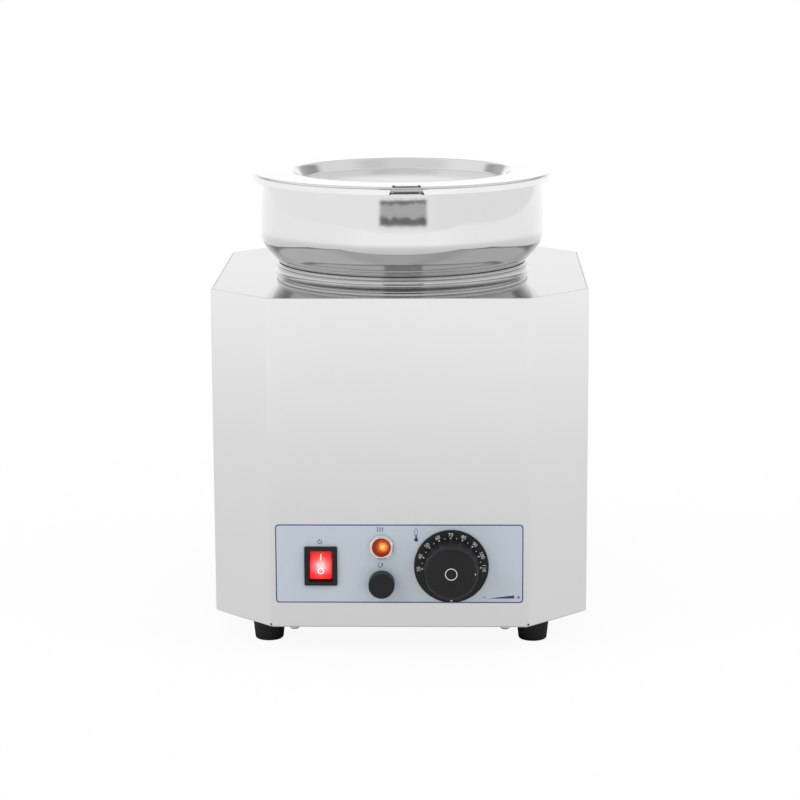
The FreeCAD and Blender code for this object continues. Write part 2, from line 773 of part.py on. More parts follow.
def lid():
    """Pressed lid: turned-down lip, flat ring that rests on the pot's bead, dished middle."""
    top_z = DECK_Z + POT_RIM_HEIGHT + SEAT_GAP + LID_T
    step_r = LID_RING_IN_R - LID_STEP_R
    points = [Vec(0, 0, top_z - LID_FLOOR_DROP), Vec(LID_FLOOR_R, 0, top_z - LID_FLOOR_DROP),
              Vec(step_r, 0, top_z - LID_STEP_DROP), Vec(step_r, 0, top_z),
              Vec(LID_R, 0, top_z), Vec(LID_R, 0, top_z - LID_LIP)]
    radii = [LID_FLOOR_EDGE_R, LID_STEP_TOE_R, LID_STEP_R, LID_EDGE_R]
    sheet = spun_sheet(rounded_path(points, radii), -LID_T)
    return sheet.cut(lid_notch(top_z))


def heat_spreader():
    """Aluminium disc under the well, bored for the stud."""
    return tube(SPREADER_R, HEATER_STUD_R, HEATER_TOP_Z - SPREADER_T, HEATER_TOP_Z)


def element_end(sign):
    """Place and direction of one end of the heating ring."""
    angle = math.radians(90 - sign * ELEMENT_GAP_DEG / 2)
    place = Vec(ELEMENT_RING_R * math.cos(angle), ELEMENT_RING_R * math.sin(angle), 0)
    ahead = Vec(-sign * math.sin(angle), sign * math.cos(angle), 0)
    return place, ahead


def heating_element():
    """Tubular element: a ring left open at the back whose two ends turn down to their pins."""
    ring_z = HEATER_TOP_Z - SPREADER_T - ELEMENT_R
    outline = eight_sided(ELEMENT_R, Vec(ELEMENT_RING_R, 0, ring_z), Vec(0, 1, 0))
    ring = Part.Face(outline).revolve(Vec(0, 0, 0), Vec(0, 0, 1), 360 - ELEMENT_GAP_DEG)
    ring.rotate(Vec(0, 0, 0), Vec(0, 0, 1), 90 + ELEMENT_GAP_DEG / 2)
    solids = []
    for sign in (1, -1):
        place, ahead = element_end(sign)
        start = place + Vec(0, 0, ring_z)
        down = Vec(0, 0, -1)
        pivot = start + down * ELEMENT_ELBOW_R
        elbow = Part.Face(eight_sided(ELEMENT_R, start, ahead)).revolve(pivot, ahead.cross(down), 90)
        leg_top = pivot + ahead * ELEMENT_ELBOW_R
        leg = elbow.Faces[-1].extrude(down * ELEMENT_LEG)
        pin = Part.makeCylinder(ELEMENT_PIN_R, ELEMENT_PIN, leg_top + down * ELEMENT_LEG, down)
        solids += [elbow, leg, pin]
    return ring.fuse(solids)


def element_clamp_plate():
    """Steel disc that presses the ring against the spreader, slotted for the two ends."""
    plate = tube(CLAMP_R, HEATER_STUD_R + HOLE_CLEARANCE, CLAMP_TOP_Z - CLAMP_T, CLAMP_TOP_Z)
    place, ahead = element_end(1)
    half = place.x + ELEMENT_R
    low_y = (place + ahead * ELEMENT_ELBOW_R).y - ELEMENT_R - CLAMP_SLOT_GAP
    slot = box((-half, half), (low_y, CLAMP_R + 1), (CLAMP_TOP_Z - CLAMP_T - 1, CLAMP_TOP_Z + 1))
    return plate.cut(slot.makeFillet(CLAMP_SLOT_R, upright_edges(slot)))


def heater_stud():
    """Stud welded under the well that carries the spreader and the clamp plate."""
    return rod(HEATER_STUD_R, HEATER_TOP_Z - HEATER_STUD, HEATER_TOP_Z)


def heater_nut():
    """Nut under the clamp plate."""
    high = CLAMP_TOP_Z - CLAMP_T
    return nut(HEATER_NUT_AF, HEATER_STUD_R, high - HEATER_NUT_T, high)


def insulation_blanket():
    """Mineral wool wrapped round the well, its two ends left apart where the bulbs stand."""
    low = WELL_FLOOR_Z + BLANKET_BOTTOM
    high = DECK_Z - BLANKET_TOP_GAP
    inner = WELL_OUT_R + BLANKET_GAP
    ring = tube(inner + BLANKET_T, inner, low, high)
    split = box((0, inner + BLANKET_T + 5), (-SPLIT_WIDTH / 2, SPLIT_WIDTH / 2), (low - 1, high + 1))
    split.rotate(Vec(0, 0, 0), Vec(0, 0, 1), SPLIT_DEG)
    return ring.cut(split)


def bulb_place(sign):
    """Lower end of a bulb: each stands against the well's wall, one each side of the split."""
    radius = WELL_OUT_R + BULB_R + BULB_GAP
    angle = math.radians(SPLIT_DEG) + sign * math.asin(BULB_SPACING / 2 / radius)
    return Vec(radius * math.cos(angle), radius * math.sin(angle), WELL_FLOOR_Z + BULB_RISE)


def bulb(sign):
    """Sensing bulb, a closed tube with a rounded top."""
    foot_point = bulb_place(sign)
    body = rod(BULB_R, foot_point.z, foot_point.z + BULB_LENGTH, foot_point.x, foot_point.y)
    return body.makeFillet(BULB_END_R, edges_at(body, foot_point.z + BULB_LENGTH))


def capillary(sign, control_x, control_z, control_body, outlet):
    """Copper capillary from an outlet in the top of its control up to its bulb, in gentle bends.
    The outlet is (beside the control's axis, behind the wall)."""
    end = bulb_place(sign)
    start = Vec(control_x + outlet[0], FRONT_Y + WALL_T + outlet[1],
                BODY_LOW + control_z + control_body[1] / 2)
    knee_z = HEATER_TOP_Z - SPREADER_T - CAPILLARY_DROP - sign * CAPILLARY_STAGGER
    turn = Vec(start.x, start.y, knee_z)
    under = Vec(end.x, end.y, knee_z)
    return bent_tube([start, turn, under, end], [CAPILLARY_BEND_R] * 2, CAPILLARY_R)


def bulb_clip():
    """Spring strip welded to the well, bowed out over both bulbs."""
    half = BULB_SPACING / 2 + BULB_R + CLIP_MARGIN
    wall = math.sqrt((WELL_OUT_R + CLIP_WELL_GAP) ** 2 - (half + CLIP_SIDE) ** 2)
    outer = WELL_OUT_R + BULB_GAP + 2 * BULB_R + CLIP_GAP
    points = [Vec(wall, -half - CLIP_SIDE, 0), Vec(wall + CLIP_LIFT, -half - CLIP_RUN, 0),
              Vec(outer, -half + CLIP_RUN, 0), Vec(outer, half - CLIP_RUN, 0),
              Vec(wall + CLIP_LIFT, half + CLIP_RUN, 0), Vec(wall, half + CLIP_SIDE, 0)]
    line = Part.Wire(rounded_path(points, [CLIP_BEND_R] * 4))
    clip = line.makeOffset2D(-CLIP_T, 0, True, True, False).extrude(Vec(0, 0, CLIP_HEIGHT))
    clip = clip.cut(rod(WELL_OUT_R + CLIP_WELL_GAP, -1, CLIP_HEIGHT + 1))
    clip.rotate(Vec(0, 0, 0), Vec(0, 0, 1), SPLIT_DEG)
    clip.translate(Vec(0, 0, WELL_FLOOR_Z + BULB_RISE + BULB_LENGTH / 2 - CLIP_HEIGHT / 2))
    return clip


def control_label():
    """Thin printed foil on the front, pierced for the controls."""
    half = LABEL_WIDTH / 2
    low = BODY_LOW + LABEL_LOW
    foil = box((-half, half), (FRONT_Y - LABEL_T, FRONT_Y), (low, low + LABEL_HEIGHT))
    corners = [edge for edge in foil.Edges if abs(edge.tangentAt(edge.FirstParameter).y) > 0.999]
    foil = foil.makeFillet(LABEL_CORNER_R, corners)
    return foil.cut(Part.makeCompound(control_cuts(WALL_T + 2)))


def pivot_z():
    """Depth of the rocker's pivot behind the panel face."""
    return LABEL_T + SWITCH_BEZEL_T - PIVOT_DEPTH


def switch_housing():
    """Moulded switch body: bezel in front, snap ears and a closed back behind the panel."""
    half = [size / 2 for size in SWITCH_BEZEL]
    front = LABEL_T + SWITCH_BEZEL_T
    bezel = box((-half[0], half[0]), (-half[1], half[1]), (LABEL_T, front))
    bezel = bezel.makeFillet(SWITCH_EDGE_R, upright_edges(bezel) + edges_at(bezel, front))
    body_half = [size / 2 for size in SWITCH_BODY]
    body = box((-body_half[0], body_half[0]), (-body_half[1], body_half[1]),
               (-SWITCH_BODY_DEPTH, LABEL_T))
    ears = []
    for sign in (-1, 1):
        edge = sign * body_half[1]
        top = -WALL_T - EAR_GAP
        ear = [Vec(-EAR_WIDTH / 2, edge, top),
               Vec(-EAR_WIDTH / 2, edge + sign * EAR_OUT, top - EAR_LEAD),
               Vec(-EAR_WIDTH / 2, edge, top - EAR_LENGTH)]
        ears.append(Part.Face(Part.makePolygon(ear + ear[:1])).extrude(Vec(EAR_WIDTH, 0, 0)))
    mouth_half = [size / 2 for size in SWITCH_MOUTH]
    mouth = box((-mouth_half[0], mouth_half[0]), (-mouth_half[1], mouth_half[1]),
                (pivot_z() - SWITCH_MOUTH_FLOOR, front + 1))
    mouth = mouth.makeFillet(SWITCH_MOUTH_R, upright_edges(mouth))
    reach = ROCKER_WIDTH / 2 + PIVOT_LENGTH + PIVOT_END_GAP
    bore = Part.makeCylinder(PIVOT_R + PIVOT_CLEARANCE, 2 * reach, Vec(-reach, 0, pivot_z()),
                             Vec(1, 0, 0))
    housing = bezel.fuse([body] + ears).cut(mouth).cut(bore)
    return on_front(housing, SWITCH_X, SWITCH_Z)


def switch_rocker():
    """Lit rocker on two pivot pins, its face hollowed; the upper half is pressed in at rest."""
    z = pivot_z()
    top = Vec(0, ROCKER_HALF, z + ROCKER_FRONT)
    low = Vec(0, -ROCKER_HALF, z + ROCKER_FRONT)
    hollow = Vec(0, 0, z + ROCKER_FRONT - ROCKER_HOLLOW)
    back_top = Vec(0, ROCKER_HALF - ROCKER_DRAFT, z - ROCKER_BACK)
    back_low = Vec(0, -ROCKER_HALF + ROCKER_DRAFT, z - ROCKER_BACK)
    outline = Part.Wire([Part.Arc(low, hollow, top).toShape(), Part.makeLine(top, back_top),
                         Part.makeLine(back_top, back_low), Part.makeLine(back_low, low)])
    half = ROCKER_WIDTH / 2
    body = Part.Face(outline).extrude(Vec(ROCKER_WIDTH, 0, 0))
    body.translate(Vec(-half, 0, 0))
    pins = Part.makeCylinder(PIVOT_R, ROCKER_WIDTH + 2 * PIVOT_LENGTH,
                             Vec(-half - PIVOT_LENGTH, 0, z), Vec(1, 0, 0))
    rocker = body.fuse(pins)
    rocker.rotate(Vec(0, 0, z), Vec(1, 0, 0), -ROCKER_TILT)
    return on_front(rocker, SWITCH_X, SWITCH_Z)


def blades(places, back):
    """Flat push-on terminals that stand out of the back of a control."""
    width, thick, length = BLADE
    return [box((x - width / 2, x + width / 2), (y - thick / 2, y + thick / 2),
                (back - length, back)) for x, y in places]


def switch_terminals():
    """Blades of the two-pole switch."""
    across, up = SWITCH_BLADES
    places = [(x, y) for x in (-across, across) for y in (-up, up)]
    return on_front(Part.makeCompound(blades(places, -SWITCH_BODY_DEPTH)), SWITCH_X, SWITCH_Z)


def lamp_bezel():
    """Bright ring with a threaded barrel through the panel."""
    front = LABEL_T + LAMP_BEZEL_T
    ring = tube(LAMP_BEZEL_R, LAMP_LENS_R + LAMP_GAP, LABEL_T, front)
    outer = [edge for edge in edges_at(ring, front) if edge.BoundBox.XMax > LAMP_LENS_R + 1]
    ring = ring.makeFillet(LAMP_EDGE_R, outer)
    barrel = tube(LAMP_THREAD_R, LAMP_BORE_R, -LAMP_THREAD, LABEL_T + LAMP_SHELF_T)
    shelf = tube(LAMP_LENS_R + 1, LAMP_BORE_R, LABEL_T, LABEL_T + LAMP_SHELF_T)
    return on_front(ring.fuse([barrel, shelf]), LAMP_X, LAMP_Z)


def lamp_lens():
    """Domed lens with a straight rim and a stem in the barrel."""
    seat = LABEL_T + LAMP_SHELF_T
    rise = LAMP_LENS_DOME - LAMP_LENS_RIM
    dome_r = (LAMP_LENS_R ** 2 + rise ** 2) / (2 * rise)
    dome = Part.makeSphere(dome_r, Vec(0, 0, seat + LAMP_LENS_DOME - dome_r))
    disc = rod(LAMP_LENS_R, seat, seat + LAMP_LENS_DOME + 1)
    lens = disc.common(dome.fuse(rod(LAMP_LENS_R, seat, seat + LAMP_LENS_RIM)))
    stem = rod(LAMP_BORE_R - LAMP_GAP, seat - LAMP_STEM, seat)
    return on_front(lens.fuse(stem), LAMP_X, LAMP_Z)


def lamp_holder():
    """Moulded lamp body in the barrel, with two blades."""
    top = LABEL_T + LAMP_SHELF_T - LAMP_STEM
    body = rod(LAMP_BORE_R - LAMP_GAP, top - LAMP_HOLDER, top)
    tabs = blades([(0, -LAMP_BLADE), (0, LAMP_BLADE)], top - LAMP_HOLDER)
    return on_front(body.fuse(tabs), LAMP_X, LAMP_Z)


def lamp_nut():
    """Nut that clamps the lamp's barrel behind the panel."""
    return on_front(nut(LAMP_NUT_AF, LAMP_THREAD_R, -WALL_T - LAMP_NUT_T, -WALL_T), LAMP_X, LAMP_Z)


def limiter_body():
    """Limiter housing behind the panel, with a threaded hub bored for the reset pin."""
    width, height, depth = LIMITER_BODY
    body = box((-width / 2, width / 2), (-height / 2, height / 2), (-WALL_T - depth, -WALL_T))
    body = body.makeFillet(CONTROL_EDGE_R, upright_edges(body))
    hub = rod(HUB_R, -WALL_T - 1, HUB_OUT)
    bore = rod(PIN_R + PIN_CLEARANCE, -PIN_IN - PIN_TRAVEL - 1, HUB_OUT + 1)
    tabs = blades([(-LIMITER_BLADE, 0), (LIMITER_BLADE, 0)], -WALL_T - depth)
    return on_front(body.fuse([hub] + tabs).cut(bore), LIMITER_X, LIMITER_Z)


def limiter_nut():
    """Nut on the hub, hidden under the cap."""
    ring = nut(HUB_NUT_AF, HUB_R, LABEL_T, LABEL_T + HUB_NUT_T)
    return on_front(ring, LIMITER_X, LIMITER_Z)


def reset_pin():
    """Pin that resets the limiter when it is pushed in."""
    pin = rod(PIN_R, -PIN_IN, HUB_OUT + PIN_OUT)
    pin = pin.makeChamfer(PIN_EDGE, edges_at(pin, HUB_OUT + PIN_OUT))
    return on_front(pin, LIMITER_X, LIMITER_Z)


def reset_cap():
    """Screw cap over the hub, its nut and the reset pin."""
    low = LABEL_T + CAP_GAP
    high = low + CAP_LENGTH
    cap = rod(CAP_R, low, high)
    cap = cap.makeFillet(CAP_EDGE_R, edges_at(cap, high))
    nut_r = HUB_NUT_AF / math.sqrt(3) + CAP_NUT_GAP
    recess = rod(nut_r, low - 1, LABEL_T + HUB_NUT_T + CAP_NUT_GAP)
    thread = rod(HUB_R + CAP_THREAD_GAP, low - 1, HUB_OUT + PIN_OUT + CAP_TOP_GAP)
    return on_front(cap.cut(recess).cut(thread), LIMITER_X, LIMITER_Z)


def thermostat_body():
    """Thermostat housing behind the panel with its bush, screw holes and blades."""
    width, height, depth = THERMOSTAT_BODY
    body = box((-width / 2, width / 2), (-height / 2, height / 2), (-WALL_T - depth, -WALL_T))
    body = body.makeFillet(CONTROL_EDGE_R, upright_edges(body))
    bush = rod(BUSH_R, -WALL_T - 1, LABEL_T + DIAL_T)
    bore = rod(SHAFT_R + SHAFT_CLEARANCE, -SHAFT_IN - 1, LABEL_T + DIAL_T + 1)
    holes = [rod(M4_R, -WALL_T - THERMOSTAT_HOLE, 0, sign * SCREW_SPACING / 2) for sign in (-1, 1)]
    across, up = THERMOSTAT_BLADES
    tabs = blades([(x, y) for y in (up, -up) for x in (-across, across)], -WALL_T - depth)
    shape = body.fuse([bush] + tabs).cut(Part.makeCompound([bore] + holes))
    return on_front(shape, DIAL_X, DIAL_Z)


def thermostat_screws():
    """Two countersunk screws through the dial plate into the thermostat."""
    front = LABEL_T + DIAL_T
    screws = []
    for sign in (-1, 1):
        neck = front - M4_SINK - M4_SUNK_T
        head = Part.makeCone(M4_R, M4_SUNK_R, M4_SUNK_T, Vec(0, 0, neck))
        screw = head.fuse(rod(M4_R, -WALL_T - THERMOSTAT_SCREW, neck))
        screw.translate(Vec(sign * SCREW_SPACING / 2, 0, 0))
        screws.append(screw)
    return on_front(Part.makeCompound(screws), DIAL_X, DIAL_Z)


def shaft_rod(radius, z_low, z_high, flat_low, flat_depth):
    """Round rod with a flat along its outer end."""
    body = rod(radius, z_low, z_high)
    flat = box((-radius, radius), (radius - flat_depth, radius + 1), (flat_low, z_high + 1))
    return body.cut(flat)


def thermostat_shaft():
    """Shaft that turns in the bush, with a flat for the knob."""
    shaft = shaft_rod(SHAFT_R, -SHAFT_IN, SHAFT_OUT, SHAFT_OUT - SHAFT_FLAT_LENGTH, SHAFT_FLAT)
    return on_front(shaft, DIAL_X, DIAL_Z)


def dial_plate():
    """Fixed black disc that carries the scale, clamped under the knob."""
    front = LABEL_T + DIAL_T
    disc = rod(DIAL_R, LABEL_T, front)
    disc = disc.makeChamfer(DIAL_EDGE_R, edges_at(disc, front))
    cuts = [rod(BUSH_R + DIAL_BORE_GAP, LABEL_T - 1, front + 1)]
    for sign in (-1, 1):
        x = sign * SCREW_SPACING / 2
        cuts.append(rod(M4_R + DIAL_HOLE_GAP, LABEL_T - 1, front + 1, x))
        cuts.append(Part.makeCone(M4_R, M4_SEAT_R, M4_SEAT_T + M4_SINK, Vec(x, 0, front - M4_SEAT_T)))
    return on_front(disc.cut(Part.makeCompound(cuts)), DIAL_X, DIAL_Z)


def knob():
    """Hollow moulded knob: tapered wall with a rounded face edge, a hub with a flat-sided bore
    and ribs between them."""
    low = LABEL_T + DIAL_T + KNOB_GAP
    high = KNOB_OUT
    outer = spun(section([(0, low), (KNOB_BASE_R, low), (KNOB_FACE_R, high), (0, high)]))
    outer = outer.makeFillet(KNOB_EDGE_R, edges_at(outer, high))
    inside = spun(section([(0, low - 1), (KNOB_BASE_R - KNOB_WALL, low - 1),
                           (KNOB_FACE_R - KNOB_WALL, high - KNOB_WALL), (0, high - KNOB_WALL)]))
    shell = outer.cut(inside)
    hub = rod(KNOB_HUB_R, low + KNOB_HUB_STEP, high - KNOB_WALL / 2)
    ribs = []
    for k in range(KNOB_RIBS):
        rib = box((0, KNOB_FACE_R - KNOB_WALL / 2), (-KNOB_RIB_T / 2, KNOB_RIB_T / 2),
                  (KNOB_RIB_LOW, high - KNOB_WALL / 2))
        rib.rotate(Vec(0, 0, 0), Vec(0, 0, 1), 45 + 360 / KNOB_RIBS * k)
        ribs.append(rib)
    bore = rod(SHAFT_R + SHAFT_CLEARANCE, low - 1, SHAFT_OUT + SHAFT_END_GAP)
    flat_y = SHAFT_R - SHAFT_FLAT + SHAFT_CLEARANCE
    bore = bore.cut(box((-SHAFT_R, SHAFT_R), (flat_y, SHAFT_R + 1),
                        (SHAFT_OUT - SHAFT_FLAT_LENGTH + SHAFT_FLAT_GAP, SHAFT_OUT + 1)))
    dimple = rod(KNOB_DIMPLE_R, high - KNOB_DIMPLE_DEPTH, high + 1, 0, -KNOB_DIMPLE_DROP)
    return on_front(shell.fuse([hub] + ribs).cut(bore).cut(dimple), DIAL_X, DIAL_Z)


def gland_body():
    """Gland body: thread through the rear panel, hexagon outside, bored for the cord."""
    shape = rod(GLAND_THREAD_R, -REAR_T - GLAND_IN, 0)
    shape = shape.fuse([hexagon(GLAND_AF, 0, GLAND_FLANGE_T),
                        rod(GLAND_THREAD_R, GLAND_FLANGE_T, GLAND_FLANGE_T + GLAND_SEAL)])
    seal_room = rod(GLAND_SEAL_R, GLAND_FLANGE_T, GLAND_OUT)
    bore = rod(GLAND_BORE_R + GLAND_BORE_GAP, -REAR_T - GLAND_IN - 1, GLAND_OUT)
    return on_back(shape.cut(seal_room).cut(bore), GLAND_X, GLAND_Z)


def gland_nut():
    """Dome nut that squeezes the seal on the cord."""
    low = GLAND_FLANGE_T + GLAND_NUT_GAP
    grip_top = low + GLAND_GRIP
    grip = hexagon(GLAND_AF, low, grip_top)
    dome = Part.makeCone(GLAND_AF / 2, GLAND_NOSE_R, GLAND_OUT - grip_top, Vec(0, 0, grip_top))
    dome = dome.makeFillet(GLAND_NOSE_EDGE_R, edges_at(dome, GLAND_OUT))
    thread = rod(GLAND_THREAD_R, low - 1, GLAND_FLANGE_T + GLAND_SEAL + GLAND_THREAD_GAP)
    bore = rod(GLAND_BORE_R + GLAND_BORE_GAP, 0, GLAND_OUT + 1)
    return on_back(grip.fuse(dome).cut(thread).cut(bore), GLAND_X, GLAND_Z)


def gland_seal():
    """Rubber sleeve in the gland that grips the cord."""
    high = GLAND_FLANGE_T + GLAND_SEAL + GLAND_SEAL_PROUD
    return on_back(tube(GLAND_SEAL_R - GLAND_SEAL_GAP, GLAND_BORE_R, GLAND_FLANGE_T + GLAND_SEAL_GAP,
                        high), GLAND_X, GLAND_Z)


def gland_locknut():
    """Locknut behind the rear panel."""
    ring = nut(GLAND_LOCKNUT_AF, GLAND_THREAD_R, -REAR_T - GLAND_LOCKNUT_T, -REAR_T)
    return on_back(ring, GLAND_X, GLAND_Z)


def terminal_block():
    """Three-way block on the bottom plate, open for the wires and the clamp screws."""
    x, y = BLOCK_PLACE
    length, width, height = BLOCK
    clamp_y, clamp_length = BLOCK_CLAMP
    body = box((x - length / 2, x + length / 2), (y - width / 2, y + width / 2),
               (BODY_LOW, BODY_LOW + height))
    cuts = []
    for way in range(BLOCK_WAYS):
        way_x = x + (way - (BLOCK_WAYS - 1) / 2) * BLOCK_PITCH
        start = Vec(way_x, y - width / 2 - 1, BODY_LOW + BLOCK_HOLE_Z)
        cuts.append(Part.makeCylinder(BLOCK_HOLE_R, width + 2, start, Vec(0, 1, 0)))
        for side in (-clamp_y, clamp_y):
            cuts.append(box((way_x - BLOCK_HOLE_R, way_x + BLOCK_HOLE_R),
                            (y + side - clamp_length / 2, y + side + clamp_length / 2),
                            (BODY_LOW + BLOCK_CLAMP_Z, BODY_LOW + height + 1)))
    cuts += [rod(M4_R, BODY_LOW - 1, BODY_LOW + height + 1, *place) for place in block_screw_places()]
    return body.cut(Part.makeCompound(cuts))


def block_screw_places():
    """Places of the two screws that hold the terminal block, one between each two ways."""
    x, y = BLOCK_PLACE
    return [(x + sign * BLOCK_PITCH / 2, y) for sign in (-1, 1)]


def terminal_block_screws():
    """Two screws down through the block into the bottom plate."""
    top = BODY_LOW + BLOCK[2]
    screws = []
    for x, y in block_screw_places():
        head = rod(BLOCK_HEAD_R, top, top + BLOCK_HEAD_T, x, y)
        screws.append(rod(M4_R, BODY_LOW, top, x, y).fuse(head))
    return Part.makeCompound(screws)


def earth_stud():
    """Protective-earth stud riveted in the bottom plate."""
    return rod(EARTH_R, FOOT_HEIGHT, BODY_LOW + EARTH_LENGTH, *EARTH_PLACE)


def earth_nut():
    """Nut on the earth stud."""
    return nut(EARTH_NUT_AF, EARTH_R, BODY_LOW, BODY_LOW + EARTH_NUT_T, *EARTH_PLACE)


def build():
    """Every piece by name."""
    pieces = {
        "body_wall": body_wall(),
        "deck": deck(),
        "rear_panel": rear_panel(),
        "rear_panel_screws": rear_panel_screws(),
        "bottom_plate": bottom_plate(),
        "bottom_screws": bottom_screws(),
        "foot_screws": foot_screws(),
        "foot_nuts": foot_nuts(),
        "well": well(),
        "pot": pot(),
        "lid": lid(),
        "heat_spreader": heat_spreader(),
        "heating_element": heating_element(),
        "element_clamp_plate": element_clamp_plate(),
        "heater_stud": heater_stud(),
        "heater_nut": heater_nut(),
        "insulation_blanket": insulation_blanket(),
        "bulb_clip": bulb_clip(),
        "thermostat_bulb": bulb(1),
        "limiter_bulb": bulb(-1),
        "thermostat_capillary": capillary(1, DIAL_X, DIAL_Z, THERMOSTAT_BODY, THERMOSTAT_TUBE),
        "limiter_capillary": capillary(-1, LIMITER_X, LIMITER_Z, LIMITER_BODY, LIMITER_TUBE),
        "control_label": control_label(),
        "switch_housing": switch_housing(),
        "switch_rocker": switch_rocker(),
        "switch_terminals": switch_terminals(),
        "lamp_bezel": lamp_bezel(),
        "lamp_lens": lamp_lens(),
        "lamp_holder": lamp_holder(),
        "lamp_nut": lamp_nut(),
        "limiter_body": limiter_body(),
        "limiter_nut": limiter_nut(),
        "reset_pin": reset_pin(),
        "reset_cap": reset_cap(),
        "thermostat_body": thermostat_body(),
        "thermostat_screws": thermostat_screws(),
        "thermostat_shaft": thermostat_shaft(),
        "dial_plate": dial_plate(),
        "knob": knob(),
        "gland_body": gland_body(),
        "gland_nut": gland_nut(),
        "gland_seal": gland_seal(),
        "gland_locknut": gland_locknut(),
        "terminal_block": terminal_block(),
        "terminal_block_screws": terminal_block_screws(),
        "earth_stud": earth_stud(),
        "earth_nut": earth_nut(),
    }
    for name, x, y in foot_places():
        pieces[name] = foot(x, y)
    return pieces


os.makedirs("parts", exist_ok=True)
for name, shape in build().items():
    shape.exportStep(f"parts/{name}.step")
    box_of = shape.BoundBox
    print(f"{name}: {len(shape.Solids)} solid(s), valid {shape.isValid()}, {shape.Volume:.0f} mm3, "
          f"z {box_of.ZMin:.1f} to {box_of.ZMax:.1f}")
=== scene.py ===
"""Looks of a chocolate melter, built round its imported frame.

The shapes are surfaces worked out with numpy in millimetres and put into meshes in metres. Each
sub-assembly is a class that builds its pieces and dresses them, and each finish is a small class
that makes one node material.
"""
from __future__ import annotations

import json
import logging
import math
from dataclasses import dataclass
from enum import Enum

import bpy
import numpy as np
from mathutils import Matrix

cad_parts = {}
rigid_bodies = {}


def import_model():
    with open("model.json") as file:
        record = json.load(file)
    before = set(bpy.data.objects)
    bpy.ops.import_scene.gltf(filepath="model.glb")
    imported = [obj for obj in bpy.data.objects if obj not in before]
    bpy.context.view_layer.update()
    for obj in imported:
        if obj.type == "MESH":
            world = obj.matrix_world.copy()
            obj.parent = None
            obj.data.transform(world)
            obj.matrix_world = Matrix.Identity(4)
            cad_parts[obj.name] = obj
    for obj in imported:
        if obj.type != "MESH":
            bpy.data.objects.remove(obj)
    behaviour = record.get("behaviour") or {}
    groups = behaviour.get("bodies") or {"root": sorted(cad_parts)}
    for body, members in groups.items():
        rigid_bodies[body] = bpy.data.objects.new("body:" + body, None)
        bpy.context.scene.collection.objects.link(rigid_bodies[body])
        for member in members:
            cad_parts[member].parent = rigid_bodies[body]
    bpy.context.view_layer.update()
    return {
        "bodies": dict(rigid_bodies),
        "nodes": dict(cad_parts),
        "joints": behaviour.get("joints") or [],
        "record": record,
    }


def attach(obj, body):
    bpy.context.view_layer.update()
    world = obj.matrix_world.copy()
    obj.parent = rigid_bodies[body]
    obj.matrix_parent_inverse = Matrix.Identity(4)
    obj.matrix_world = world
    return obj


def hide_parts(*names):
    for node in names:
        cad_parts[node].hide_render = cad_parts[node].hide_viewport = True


LOG = logging.getLogger("melter")
MM = 0.001
TURN = 2 * math.pi

Array = np.ndarray
Colour = tuple[float, float, float]


class Body(Enum):
    """Bodies of the frame that pieces ride on."""

    HOUSING = "housing"
    POT = "pot"
    LID = "lid"
    KNOB = "knob"
    ROCKER = "rocker"
    CAP = "reset_cap"
    PIN = "reset_pin"


class Facing(Enum):
    """Panel that a control or fitting is drawn for."""

    FRONT = "front"
    BACK = "back"
    TOP = "top"
    UNDER = "under"


# Lines, outlines and surfaces

def arc(centre: tuple[float, float], radius: float, start: float, end: float, steps: int) -> Array:
    """Points on a circle from one angle to another.

    Args:
        centre: Middle of the circle.
        radius: Its radius.
        start: First angle in degrees.
        end: Last angle in degrees.
        steps: Number of chords.

    Returns:
        Points, one row each: centre + radius * (cos a, sin a).
    """
    angles = np.radians(np.linspace(start, end, steps + 1))
    return np.column_stack([centre[0] + radius * np.cos(angles), centre[1] + radius * np.sin(angles)])


def rounded_line(points: list[tuple[float, float]], radii: list[float], chords: int = 8,
                 hold: float = 0.25) -> Array:
    """Line of straight runs with a tangent arc at each inner point.

    At a corner the arc starts and ends radius / tan(half the inner angle) away from the corner. A
    point `hold` before and after each arc keeps the runs' shading flat.

    Args:
        points: Corners of the line.
        radii: Radius at each inner point, 0 for a sharp corner.
        chords: Chords for a quarter turn.
        hold: Distance of the holding points from an arc.

    Returns:
        Points, one row each.
    """
    corners = np.asarray(points, float)
    out = [corners[0]]
    for before, corner, after, radius in zip(corners, corners[1:], corners[2:], radii):
        back = (before - corner) / np.linalg.norm(before - corner)
        ahead = (after - corner) / np.linalg.norm(after - corner)
        if radius <= 0:
            out.append(corner)
            continue
        half = math.acos(float(np.clip(back @ ahead, -1, 1))) / 2
        reach = radius / math.tan(half)
        middle = corner + (back + ahead) / np.linalg.norm(back + ahead) * radius / math.sin(half)
        first = corner + back * reach - middle
        last = corner + ahead * reach - middle
        start = math.degrees(math.atan2(first[1], first[0]))
        turn = math.degrees(math.atan2(first[0] * last[1] - first[1] * last[0], first @ last))
        count = max(2, math.ceil(abs(turn) / 90 * chords))
        if np.linalg.norm(out[-1] - corner) > reach + 2 * hold:
            out.append(corner + back * (reach + hold))
        out.extend(arc(tuple(middle), radius, start, start + turn, count))
        if np.linalg.norm(after - corner) > reach + 2 * hold:
            out.append(corner + ahead * (reach + hold))
    out.append(corners[-1])
    return np.array(out)


